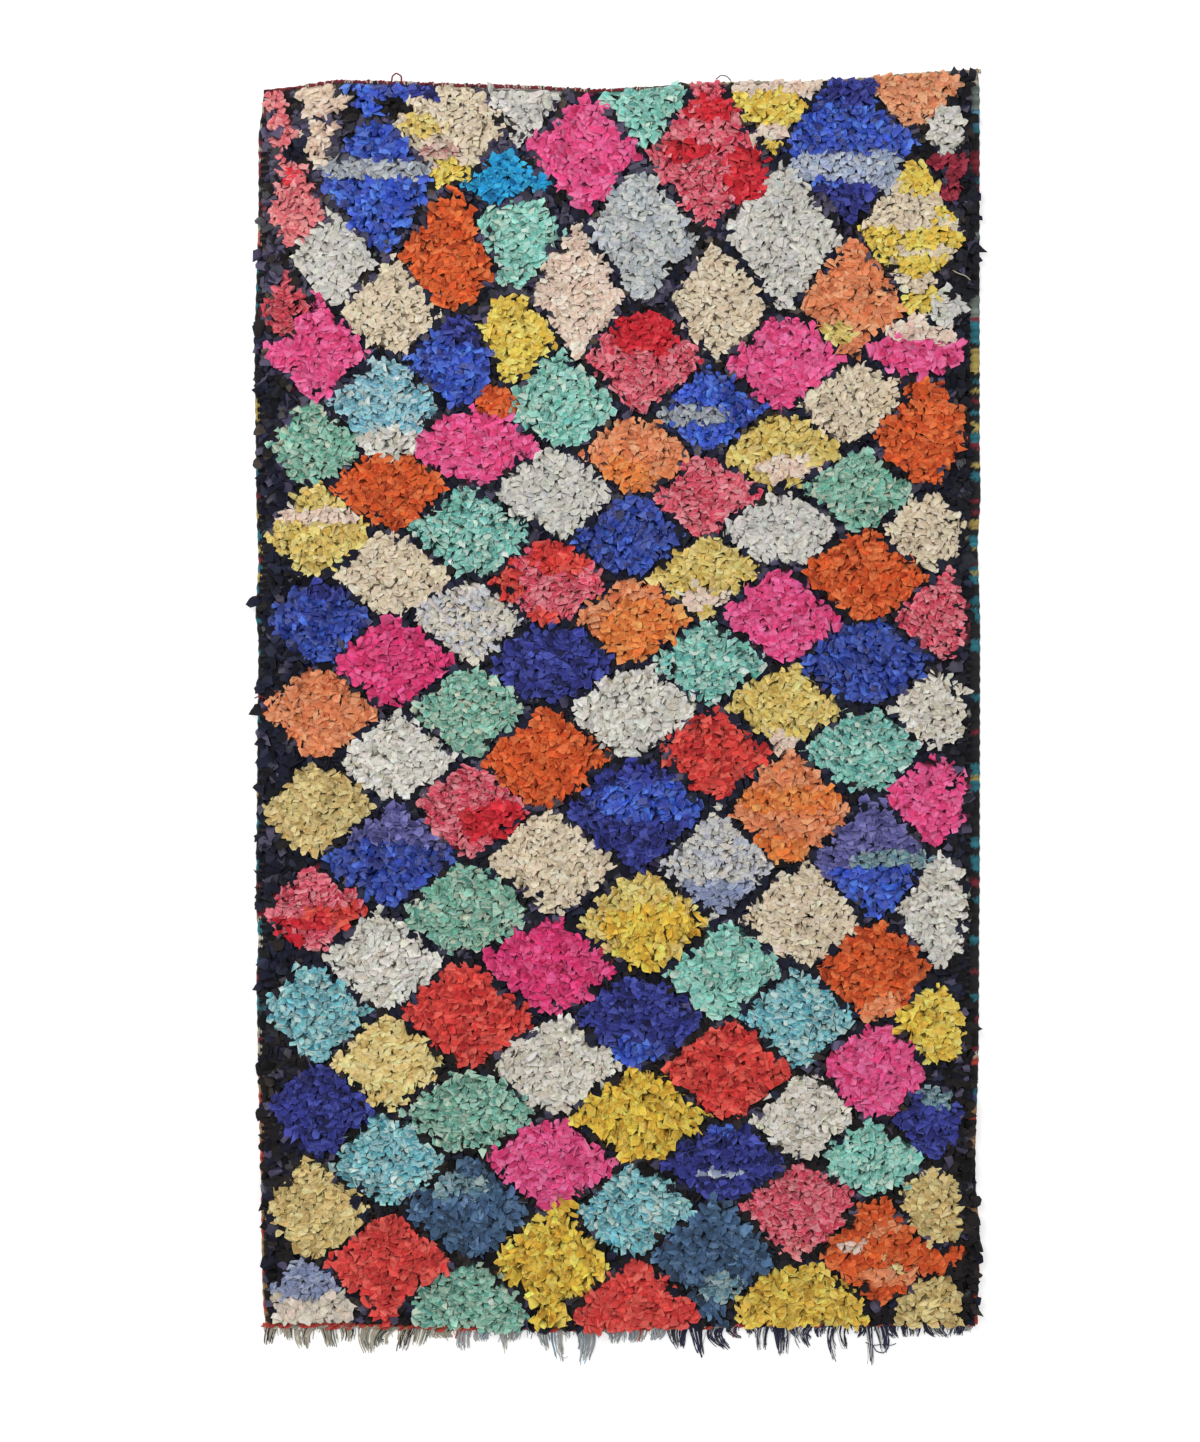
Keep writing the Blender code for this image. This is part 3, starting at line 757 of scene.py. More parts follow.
def knot_places():
    """Where the knots are: rows across the rug, a little uneven."""
    rows = int((2.43) / PITCH_Y)
    columns = int((1.40 - 0.037) / PITCH_X)
    row, column = np.meshgrid(np.arange(rows), np.arange(columns), indexing="ij")
    row, column = row.ravel(), column.ravel()
    share_y = (row + 0.5 + rng.normal(0, 0.10, len(row))) / rows
    share_x = (column + 0.5 + 0.5 * (row % 2 - 0.5) + rng.normal(0, 0.12, len(row))) / columns
    nominal = -1.182 + share_y * 2.412
    left, right = left_side(nominal) + 6 * MM, right_side(nominal) - bare_right(nominal) - 3 * MM
    x = left + share_x * (right - left)
    x = np.maximum(x, left_side(nominal) + bare_left(nominal) + 4 * MM)
    bottom, top = bottom_end(x) + bare_bottom(x) + 3.5 * MM, top_end(x) - bare_top(x) - 6.5 * MM
    y = bottom + share_y * (top - bottom)
    y = y + 2.0 * MM * np.sin(x * 9.0 + 1.7 * np.sin(row * 0.11))
    return x, y


def strips(count, place_x, place_y, depth, cut, colours, pale, lie, lift):
    """The strips of one cut: their points, faces and colours. The strips' visible middles are at the places given."""
    _, rings, wide, long, lean, arch, high, tip = CUTS[cut]
    run = np.array((0.0, 0.26, 0.60, 1.0)) if rings == 4 else np.array((0.0, 0.14, 0.38, 0.70, 1.0))
    rise = np.array((0.0, 0.64, 0.98, 1.0)) if rings == 4 else np.array((0.0, 0.50, 0.84, 1.0, 0.98))
    girth = np.array((0.55, 0.9, 1.0, tip)) if rings == 4 else np.array((0.5, 0.8, 1.0, 1.0, tip))
    foot = 1.8 * MM + packed_height(place_x, place_y)
    width = wide * MM * np.clip(np.exp(rng.normal(-0.03, 0.27, count)), 0.45, 1.6)
    length = long * MM * np.clip(rng.normal(1.0, 0.18, count), 0.62, 1.5)
    top = high * MM + rng.normal(0, 1, count) * (0.8 + 1.5 * depth) * MM
    top += 1.3 * MM * soft_field(place_x, place_y, 11, 0.16) + lift
    top = np.clip(top, 11 * MM, 27.5 * MM)
    heading = lie + np.radians(rng.normal(0, lean, count))
    wild = rng.random(count) < 0.07
    heading = np.where(wild, heading + rng.uniform(-1.9, 1.9, count), heading)
    steep = rng.random(count) < 0.16  # some stand up more than they lie
    length = np.where(steep, length * 0.78, length)
    top = np.where(steep, top + 1.4 * MM, top)
    roll = np.radians(rng.normal(0, 14 if cut != "ribbon" else 38, count))
    roll = np.where(rng.random(count) < 0.24, roll * 3.2, roll)  # some turn a side up
    bend = rng.normal(0, 0.14, count) * length
    droop = rng.uniform(0.0, 0.42, count) * (top - foot) * (rng.random(count) < 0.6)

    # near the rug's edges the strips turn back onto the rug
    for _ in range(2):
        middle_x, middle_y = np.cos(lie), np.sin(lie)
        tip_x = place_x + length * (np.cos(heading) - 0.58 * middle_x)
        tip_y = place_y + length * (np.sin(heading) - 0.58 * middle_y)
        ragged = rng.normal(0, 4.0, (4, count)) * MM
        low_x = left_side(place_y) + np.where(bare_left(place_y) > 9 * MM, bare_left(place_y) - 4 * MM, bare_left(place_y) - 7 * MM) + ragged[0]
        high_x = right_side(place_y) - bare_right(place_y) + ragged[1]
        low_y, high_y = bottom_end(place_x) + bare_bottom(place_x) + ragged[2], top_end(place_x) - bare_top(place_x) + 0.6 * ragged[3]
        sideways = (tip_x < low_x) | (tip_x > high_x)
        heading = np.where(sideways, math.pi - heading, heading)
        upward = (tip_y > high_y)
        heading = np.where(upward, -heading, heading)
        shorten = (tip_y < low_y)
        length = np.where(shorten, np.maximum(0.62 * length, 15 * MM), length)

    ahead = np.stack([np.cos(heading), np.sin(heading)], 1)
    beside = np.stack([-np.sin(heading), np.cos(heading)], 1)
    middle = np.stack([np.cos(lie), np.sin(lie)], 1)
    root = np.stack([place_x, place_y], 1) - middle * (0.58 * length)[:, None]
    root[:, 0] = np.clip(root[:, 0], left_side(root[:, 1]) + bare_left(root[:, 1]) + 5 * MM, right_side(root[:, 1]) - bare_right(root[:, 1]) - 4 * MM)
    root[:, 1] = np.clip(root[:, 1], bottom_end(root[:, 0]) + 4 * MM, top_end(root[:, 0]) - 7 * MM)
    centre = np.zeros((count, rings, 3))
    out = run[None, :] * length[:, None]
    side = bend[:, None] * run[None, :] ** 2
    centre[:, :, :2] = root[:, None, :] + out[:, :, None] * ahead[:, None, :] + side[:, :, None] * beside[:, None, :]
    centre[:, :, 2] = foot[:, None] + rise[None, :] * (top - foot)[:, None]
    centre[:, -1, 2] -= droop
    centre[:, 1:, 2] += rng.normal(0, 0.7, (count, rings - 1)) * MM

    tangent = np.gradient(centre, axis=1)
    tangent /= np.linalg.norm(tangent, axis=2, keepdims=True)
    flat = np.zeros_like(centre)
    flat[:, :, :2] = beside[:, None, :]
    normal = np.cross(tangent, flat)
    normal /= np.linalg.norm(normal, axis=2, keepdims=True)
    turn = roll[:, None] * (0.3 + 0.7 * run[None, :]) + rng.normal(0, 0.10, (count, rings))
    across = flat * np.cos(turn)[:, :, None] + normal * np.sin(turn)[:, :, None]
    outward = np.cross(across, tangent)
    outward *= np.sign(outward[:, :, 2:3] + 1e-9)

    half = 0.5 * girth[None, :] * width[:, None] * rng.normal(1.0, 0.11, (count, rings))
    skew = rng.normal(0, 0.17, count) * width
    ridge = arch * width[:, None] * np.clip(rng.normal(0.8, 0.5, (count, 1)), 0.12, 1.9) * (0.55 + 0.45 * girth[None, :])
    ridge = np.maximum(ridge * rng.normal(1.0, 0.22, (count, rings)), 0.7 * MM)
    valley = rng.random(count) < 0.36  # folded the other way: a flat or hollow face up
    fold = np.clip(rng.normal(0, 0.32, (count, 1)), -0.7, 0.7) * np.ones((1, rings))

    points = np.zeros((count, rings, 3, 3))
    points[:, :, 0] = centre - across * half[:, :, None]
    points[:, :, 2] = centre + across * half[:, :, None]
    points[:, :, 1] = centre + across * (fold * half)[:, :, None] + outward * np.where(valley[:, None], -ridge, ridge)[:, :, None]
    points[:, -1, 0] += tangent[:, -1] * skew[:, None]
    points[:, -1, 2] -= tangent[:, -1] * skew[:, None]
    points[:, -1, 1] += tangent[:, -1] * (rng.normal(0.04, 0.15, count) * width)[:, None]
    points[:, -2, 1] += tangent[:, -2] * (rng.normal(0, 0.10, count) * width)[:, None]
    curl = rng.normal(0, 1.1, (count, rings, 2)) * MM
    points[:, :, 0, 2] += curl[:, :, 0]
    points[:, :, 2, 2] += curl[:, :, 1]
    points[:, :, :, 2] = np.clip(points[:, :, :, 2], 1.2 * MM, 31.5 * MM)

    # faces: left, right and under side of each stretch, and both ends
    base = (np.arange(count) * rings * 3)[:, None]
    quads = []
    for ring in range(rings - 1):
        a, b = 3 * ring, 3 * ring + 3
        for first, second in ((0, 1), (1, 2), (2, 0)):
            quads.append(np.stack([a + first, a + second, b + second, b + first]))
    quads = np.array(quads)[None] + base[:, :, None]
    ends = np.array(((0, 2, 1), (3 * rings - 3, 3 * rings - 2, 3 * rings - 1)))[None] + base[:, :, None]
    # turn the faces of the strips whose fold points down, so that all face out
    volume = np.einsum("ij,ij->i", np.cross(points[:, 2, 2] - points[:, 2, 0], points[:, 2, 1] - points[:, 2, 0]), tangent[:, 2])
    flip = volume > 0
    quads[flip] = quads[flip][:, :, ::-1]
    ends[flip] = ends[flip][:, :, ::-1]

    # the strip's own coordinates, in metres, each strip starting somewhere else
    start = rng.uniform(0, 0.4, (count, 2))
    v = np.linspace(0, 1, rings)
    uv = np.zeros((count, rings, 3, 2))
    uv[:, :, :, 0] = start[:, None, None, 0] + width[:, None, None] * np.array((0.0, 0.5, 1.0))
    uv[:, :, :, 1] = start[:, None, None, 1] + length[:, None, None] * 1.15 * v[None, :, None]

    # painted light on each strip: its sides and tip lighter as painted highlight, its foot and lower part darker as
    # painted shade where it goes under its neighbours, more so the deeper its cloth
    painted_shade_highlight = np.zeros((count, rings, 3, 1)) + 1.0
    painted_shade_highlight[:, :, 0] = painted_shade_highlight[:, :, 2] = 1.05
    painted_shade_highlight[:, -1] *= 1.04
    painted_shade_highlight[:, 0] *= (1 - 0.75 * depth)[:, None, None]
    painted_shade_highlight[:, 1] *= (1 - 0.62 * depth)[:, None, None]
    painted_shade_highlight[:, -1] *= (1 + 0.12 * depth)[:, None, None]
    tint = colours[:, None, None, :] * painted_shade_highlight
    # where a point is on its strip: across from the fold, 0, to a cut side, 1, and along
    edge = np.zeros((count, rings, 3, 3))
    edge[:, :, 0, 0] = edge[:, :, 2, 0] = 1.0
    edge[..., 1] = run[None, :, None]
    edge[..., 2] = rng.random(count)[:, None, None]
    pales = np.broadcast_to(pale[:, None, None, :], tint.shape)
    return dict(
        count=count,
        rings=rings,
        verts=points.reshape(-1, 3),
        quads=quads.reshape(-1, 4),
        ends=ends.reshape(-1, 3),
        uv=uv.reshape(-1, 2),
        tint=tint.reshape(-1, 3),
        pale=pales.reshape(-1, 3),
        edge=edge.reshape(-1, 3),
    )


def atlas_of(lots):
    """A bake map: every strip has a cell of its own, its upper faces on the left and its under face on the right."""
    total = sum(lot["count"] for lot in lots)
    grid = math.ceil(math.sqrt(total))
    quad_uv, end_uv, first = [], [], 0
    for lot in lots:
        index = first + np.arange(lot["count"])
        first += lot["count"]
        corner = np.stack([index % grid, index // grid], 1) / grid
        rings = lot["rings"]
        cells = []
        for ring in range(rings - 1):
            low, high = ring / (rings - 1), (ring + 1) / (rings - 1)
            for left, right in ((0.04, 0.36), (0.36, 0.68), (0.94, 0.72)):
                cells.append(((left, low), (right, low), (right, high), (left, high)))
        cells = np.array(cells)
        cells[:, :, 1] = 0.06 + 0.82 * cells[:, :, 1]
        tips = np.array((((0.04, 0.05), (0.68, 0.05), (0.36, 0.02)), ((0.04, 0.89), (0.36, 0.96), (0.68, 0.89))))
        quads = corner[:, None, None, :] + cells[None] / grid
        ends = corner[:, None, None, :] + tips[None] / grid
        flip = lot["quads"].reshape(lot["count"], -1, 4)[:, 0, 0] > lot["quads"].reshape(lot["count"], -1, 4)[:, 0, -1]
        quads[flip] = quads[flip][:, :, ::-1]
        ends[flip] = ends[flip][:, :, ::-1]
        quad_uv.append(quads.reshape(-1, 2))
        end_uv.append(ends.reshape(-1, 2))
    return quad_uv, end_uv


def shaded(names):
    """A colour for each strip: one of its cloth's shades, then its own slight difference. The second colour is the
    cloth's pale side: the pale back of printed cloths, and for the others a lighter shade of their own colour, a
    painted highlight for the cut edges.
    """
    colours, pale = np.zeros((len(names), 3)), np.zeros((len(names), 3))
    for name in sorted(set(names)):
        shades = np.array(CLOTHS[name][4], float)
        here = np.flatnonzero(names == name)
        pick = rng.choice(len(shades), len(here), p=shades[:, 3] / shades[:, 3].sum())
        colour = linear(shades[pick, :3])
        colour *= 1.07 * np.exp(rng.normal(0, 0.04 + 0.12 * CLOTHS[name][3], (len(here), 1)))
        colour *= np.exp(rng.normal(0, 0.025, (len(here), 3)))
        colours[here] = colour
        light = linear(shades[:, :3]).max(0)
        # dark cloths: a lighter shade of their own colour, a painted highlight for their cut edges
        if CLOTHS[name][0].startswith("dark_"):
            colours[here] *= 0.80
            pale[here] = 1.1 * light
            continue
        if CLOTHS[name][1] in ("print", "flecked"):
            own = 0.8 if name in ("heather", "salmon", "crimson_heather") else 0.55
            pale[here] = own * light + (1 - own) * linear((236, 230, 214))
        else:
            # the other cloths: a lighter shade of their own colour, a painted highlight for their cut edges
            pale[here] = np.clip(1.35 * light + 0.02, 0, 0.9)
    return np.clip(colours, 0, 0.92), pale


def make_pile():
    x, y = knot_places()
    across, down = chart_x(x), chart_y(y)
    cloth, owner = charted(across + rng.normal(0, 1.7, len(x)), down + rng.normal(0, 1.3, len(x)))
    border = (x < left_side(y) + 31 * MM) | (x > right_side(y) - 47 * MM)
    dark = (cloth == "dark") | (border & (owner >= 0) & ((x < left_side(y) + 22 * MM) | (x > right_side(y) - 38 * MM)))
    cloth = cloth.copy()
    cloth[dark] = dark_cloth(across[dark], down[dark])
    # each lozenge was knotted with its own lie, and its strips splay out a little
    lies = np.radians(np.random.default_rng(3).normal(-90, 11, len(LOZENGES) + 1))
    middle = np.array([(row[0], row[1], row[3] - row[2], row[5] - row[4]) for row in LOZENGES] + [(617, 717, 9e3, 9e3)], float)[owner]
    splay = np.clip(2 * (across - middle[:, 0]) / middle[:, 2], -1, 1)
    lie = lies[owner] + math.radians(20) * splay
    upper = np.clip(2 * (middle[:, 1] - down) / middle[:, 3], -1, 1)
    lie = np.where((upper > 0.66) & (rng.random(len(x)) < 0.45), -lie, lie)
    # round its edge they lean out over the dark ground
    outward = np.arctan2(-(down - middle[:, 1]), across - middle[:, 0]) + rng.normal(0, 0.35, len(x))
    rim = np.abs(across - middle[:, 0]) / middle[:, 2] + np.abs(down - middle[:, 1]) / middle[:, 3] > 0.36
    lie = np.where(rim & (owner >= 0) & (rng.random(len(x)) < 0.5), outward, lie)
    # and along the rug's sides and upper end some lean out over the edge
    at_side = (x < left_side(y) + bare_left(y) + 15 * MM) & (bare_left(y) < 9 * MM) & (rng.random(len(x)) < 0.55)
    lie = np.where(at_side, math.pi + rng.normal(0, 0.4, len(x)), lie)
    at_right = (x > right_side(y) - bare_right(y) - 15 * MM) & ((down > 1110) | (down < 300)) & (rng.random(len(x)) < 0.5)
    lie = np.where(at_right, rng.normal(0, 0.4, len(x)), lie)
    at_top = (y > top_end(x) - bare_top(x) - 19 * MM) & (across > 655) & (rng.random(len(x)) < 0.75)
    lie = np.where(at_top, math.pi / 2 + rng.normal(0, 0.35, len(x)), lie)
    lift = np.where(dark, -1.6 * MM, 0.5 * MM)
    families = {}
    for name in sorted(set(cloth)):
        families.setdefault(CLOTHS[name][0], []).append(name)
    ground = dict(x=x, y=y, cloth=cloth)
    for family, names in sorted(families.items()):
        here = np.isin(cloth, names)
        lots = []
        for cut in sorted({CLOTHS[name][2] for name in names}):
            these = np.flatnonzero(here & np.isin(cloth, [n for n in names if CLOTHS[n][2] == cut]))
            px, py, pl, pc, pf = x[these], y[these], lie[these], cloth[these], lift[these]
            pd = np.array([CLOTHS[name][3] for name in pc])
            if CUTS[cut][0] == 2:
                # a knot's two ends; one lies lower, and half under its neighbours
                off = rng.normal(0, 0.8, (len(px), 2)) * MM + np.array((3.4, 2.7)) * MM
                off[:, 0] *= np.where(rng.random(len(px)) < 0.5, -1, 1)
                under = 0.7 * MM
                px = np.concatenate([px + off[:, 0], px - off[:, 0]])
                py = np.concatenate([py + off[:, 1], py - off[:, 1]])
                pf = np.concatenate([pf, pf - under])
                pl, pc, pd = np.tile(pl, 2), np.tile(pc, 2), np.tile(pd, 2)
            colours, pale = shaded(pc)
            drift = 0.10 * soft_field(px, py, 23, 0.055) + 0.06 * soft_field(px, py, 29, 0.16)
            colours = np.clip(colours * np.exp(drift * (0.5 + pd))[:, None], 0, 0.92)
            lots.append(strips(len(px), px, py, pd, cut, colours, pale, pl, pf))
        offset, verts, quads, ends = 0, [], [], []
        for lot in lots:
            verts.append(lot["verts"])
            quads.append(lot["quads"] + offset)
            ends.append(lot["ends"] + offset)
            offset += len(lot["verts"])
        quad_uv, end_uv = atlas_of(lots)
        finish = CLOTHS[names[0]][1]
        mesh_object(
            "pile_" + family,
            np.concatenate(verts),
            [np.concatenate(quads), np.concatenate(ends)],
            FINISHES[finish],
            uvs=np.concatenate([lot["uv"] for lot in lots]),
            tint=np.concatenate([lot["tint"] for lot in lots]),
            pale=np.concatenate([lot["pale"] for lot in lots]),
            edge=np.concatenate([lot["edge"] for lot in lots]),
            atlas=np.concatenate(quad_uv + end_uv),
            sharp=24.0,
        )
    return ground


knots = make_pile()

# --- the woven ground -------------------------------------------------------


def cell_colours(x, y):
    """The colour of the knot nearest to each place, darker the deeper its cloth: painted shade under the pile."""
    across, down = chart_x(x), chart_y(y)
    cloth, _ = charted(across, down)
    colour = np.zeros((len(x), 3))
    for name in sorted(set(cloth)):
        _, _, _, depth, shades = CLOTHS["navy" if name == "dark" else name]
        # darker the deeper the cloth: painted shade under the pile
        colour[cloth == name] = linear(shades[0][:3]) * (1 - 0.7 * depth)
    return colour


def make_ground():
    """The warp and weft that carry the knots, as one thin closed sheet."""
    columns, rows = 84, 136
    share_x, share_y = np.meshgrid(np.linspace(0, 1, columns + 1), np.linspace(0, 1, rows + 1))
    share_x, share_y = share_x.ravel(), share_y.ravel()
    nominal = -1.182 + 2.412 * share_y
    left, right = left_side(nominal) + 3 * MM, right_side(nominal) - 3 * MM
    x = left + share_x * (right - left)
    bottom, top = bottom_end(x) + 2.5 * MM, top_end(x) - 2.5 * MM
    y = bottom + share_y * (top - bottom)
    count = len(x)
    rim = (share_x < 1e-6) | (share_x > 1 - 1e-6) | (share_y < 1e-6) | (share_y > 1 - 1e-6)
    ripple = 0.35 * MM * np.sin(y * 480) + 0.25 * MM * np.sin(x * 430 + 2 * np.sin(y * 70))
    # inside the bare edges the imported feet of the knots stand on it
    packed = packed_height(x, y) * (1 + rng.normal(0, 0.16, count))
    above = np.stack([x, y, np.where(rim, 2.6 * MM, 3.5 * MM + ripple + packed)], 1)
    below = np.stack([x, y, np.where(rim, 1.4 * MM, 0.7 * MM + 0.3 * ripple)], 1)
    verts = np.concatenate([above, below])
    row, column = np.meshgrid(np.arange(rows), np.arange(columns), indexing="ij")
    a = (row * (columns + 1) + column).ravel()
    upper = np.stack([a, a + 1, a + columns + 2, a + columns + 1], 1)
    lower = upper[:, ::-1] + count
    edge = np.concatenate([
        np.arange(columns),
        np.arange(rows) * (columns + 1) + columns,
        (rows * (columns + 1) + np.arange(columns, 0, -1)),
        np.arange(rows, 0, -1) * (columns + 1),
    ])
    follow = np.roll(edge, -1)
    sides = np.stack([edge, edge + count, follow + count, follow], 1)
    colour = cell_colours(x, y)
    # the upper face shows between the knots' feet: their colour with painted shade
    top_tint = 0.95 * colour + 0.02 * linear((70, 62, 58))
    # the back shows the knots' own rags between rows of dark weft
    under_tint = 1.1 * colour + 0.1 * linear((170, 150, 130))
    tint = np.concatenate([top_tint, under_tint])
    uv = np.concatenate([np.stack([x, y], 1), np.stack([x, y], 1)])
    return mesh_object("woven_ground", verts, [np.concatenate([upper, lower, sides[:, ::-1]])], ground_material(), uvs=uv, tint=tint, sharp=50.0)


def ground_material():
    n = Nodes("woven_ground")
    tint = n.add("ShaderNodeAttribute", attribute_name="tint").outputs["Color"]
    place = n.add("ShaderNodeTexCoord").outputs["Object"]
    strip = n.add("ShaderNodeUVMap", uv_map="Strip").outputs["UV"]
    parts = n.add("ShaderNodeSeparateXYZ")
    n.join(strip, parts.inputs[0])
    warp = n.maths("SINE", n.maths("MULTIPLY", parts.outputs[0], 2 * math.pi / 0.0061))
    weft = n.maths("SINE", n.maths("MULTIPLY", parts.outputs[1], 2 * math.pi / 0.0049))
    weave = n.maths("MULTIPLY", warp, weft)
    rows = n.span(n.maths("SINE", n.maths("MULTIPLY", parts.outputs[1], 2 * math.pi / 0.0130)), 0.35, 0.6, 0.0, 0.75)
    mottled = n.span(n.noise(place, 220.0, 2.0), 0.3, 0.7, 0.75, 1.1)
    colour = n.blend("MULTIPLY", 1.0, tint, n.grey(mottled))
    colour = n.blend("MIX", rows, colour, tuple(linear((66, 60, 58))))
    n.join(colour, n.shader.inputs["Base Color"])
    n.shader.inputs["Roughness"].default_value = 0.9
    n.shader.inputs["Specular IOR Level"].default_value = 0.3
    bump = n.add("ShaderNodeBump")
    bump.inputs["Strength"].default_value = 0.6
    bump.inputs["Distance"].default_value = 0.0015
    n.join(weave, bump.inputs["Height"])
    n.join(bump.outputs["Normal"], n.shader.inputs["Normal"])
    return n.material


# --- yarns: selvedges, cords, fringe ---------------------------------------


def yarn_material(name, twist, roughness=0.88, twist_depth=0.0008):
    """Spun yarn: its colour from the mesh, with the ply's slanting lines."""
    n = Nodes(name)
    tint = n.add("ShaderNodeAttribute", attribute_name="tint").outputs["Color"]
    place = n.add("ShaderNodeTexCoord").outputs["Object"]
    strip = n.add("ShaderNodeUVMap", uv_map="Strip").outputs["UV"]
    parts = n.add("ShaderNodeSeparateXYZ")
    n.join(strip, parts.inputs[0])
    lines = n.maths("SINE", n.maths("MULTIPLY", n.maths("ADD", parts.outputs[0], parts.outputs[1]), 2 * math.pi / twist))
    hair = n.span(n.noise(place, 900.0, 3.0, 0.6), 0.3, 0.7, 0.72, 1.15)
    # the grooves between the plies darker: painted shade
    ply = n.span(lines, -1.0, 0.2, 0.72, 1.0)
    colour = n.blend("MULTIPLY", 1.0, tint, n.grey(n.maths("MULTIPLY", hair, ply)))
    n.join(colour, n.shader.inputs["Base Color"])
    n.shader.inputs["Roughness"].default_value = roughness
    n.shader.inputs["Sheen Weight"].default_value = 0.25
    n.shader.inputs["Sheen Roughness"].default_value = 0.5
    n.shader.inputs["Specular IOR Level"].default_value = 0.3
    bump = n.add("ShaderNodeBump")
    bump.inputs["Strength"].default_value = 0.5
    bump.inputs["Distance"].default_value = twist_depth
    n.join(n.maths("ADD", lines, n.noise(place, 700.0, 2.0)), bump.inputs["Height"])
    n.join(bump.outputs["Normal"], n.shader.inputs["Normal"])
    return n.material


def tubes(lines, radii, colours, sides=5, flat=1.0, floor=0.25 * MM):
    """Closed tubes along lines. lines: (tubes, points, 3); radii: (tubes, points); colours: (tubes, 3) or (tubes, points, 3). Returns verts, quads, ends, uv, tint."""
    lines = np.asarray(lines, float)
    count, steps, _ = lines.shape
    tangent = np.gradient(lines, axis=1)
    tangent /= np.maximum(np.linalg.norm(tangent, axis=2, keepdims=True), 1e-12)
    up = np.broadcast_to(np.array((0.0, 0.0, 1.0)), tangent.shape)
    beside = np.cross(tangent, up)
    size = np.linalg.norm(beside, axis=2, keepdims=True)
    beside = np.where(size > 0.05, beside / np.maximum(size, 1e-9), np.array((1.0, 0.0, 0.0)))
    normal = np.cross(beside, tangent)
    angle = np.arange(sides) * 2 * math.pi / sides
    ring = np.cos(angle)[None, None, :, None] * beside[:, :, None, :] + flat * np.sin(angle)[None, None, :, None] * normal[:, :, None, :]
    points = lines[:, :, None, :] + radii[:, :, None, None] * ring
    points[..., 2] = np.maximum(points[..., 2], floor)
    base = (np.arange(count) * steps * sides)[:, None]
    quads = []
    for step in range(steps - 1):
        for side in range(sides):
            a, b = step * sides + side, step * sides + (side + 1) % sides
            quads.append((a, b, b + sides, a + sides))
    quads = np.array(quads)[None] + base[:, :, None]
    caps = np.stack([np.arange(sides)[::-1], (steps - 1) * sides + np.arange(sides)])[None] + base[:, :, None]
    colours = np.asarray(colours, float)
    if colours.ndim == 2:
        colours = np.repeat(colours[:, None, :], steps, 1)
    tint = np.repeat(colours[:, :, None, :], sides, 2)
    run = np.concatenate([np.zeros((count, 1)), np.cumsum(np.linalg.norm(np.diff(lines, axis=1), axis=2), 1)], 1)
    uv = np.zeros((count, steps, sides, 2))
    uv[..., 0] = (angle / (2 * math.pi))[None, None, :] * 0.008
    uv[..., 1] = run[:, :, None] + rng.uniform(0, 0.1, (count, 1, 1))
    return points.reshape(-1, 3), quads.reshape(-1, 4), caps.reshape(-1, sides), uv.reshape(-1, 2), tint.reshape(-1, 3)


def joined(lots):
    """Several lots of tubes as one: verts, faces by size, uvs, tint."""
    verts, uvs, tints, faces, offset = [], [], [], {}, 0
    for points, quads, caps, uv, tint in lots:
        faces.setdefault(4, []).append(quads + offset)
        faces.setdefault(caps.shape[1], []).append(caps + offset)
        verts.append(points)
        uvs.append(uv)
        tints.append(tint)
        offset += len(points)
    return np.concatenate(verts), [np.concatenate(faces[size]) for size in sorted(faces)], np.concatenate(uvs), np.concatenate(tints)


# Yarn colours, sRGB
YARNS = {
    "cream": (214, 206, 184), "red": (140, 42, 56), "bright_red": (196, 36, 44), "black": (34, 32, 36),
    "sage": (136, 150, 140), "teal": (48, 132, 148), "yellow": (212, 188, 104), "tan": (196, 152, 110),
    "coral": (214, 78, 62), "sky": (104, 172, 208), "navy": (34, 39, 82), "pale_green": (176, 196, 160),
    "salmon": (224, 128, 112), "violet": (104, 92, 158), "oat": (204, 195, 177), "grey_blue": (186, 192, 198),
    "white": (222, 222, 216), "brown": (58, 46, 42), "aqua": (176, 208, 204), "pink": (224, 190, 190),
}

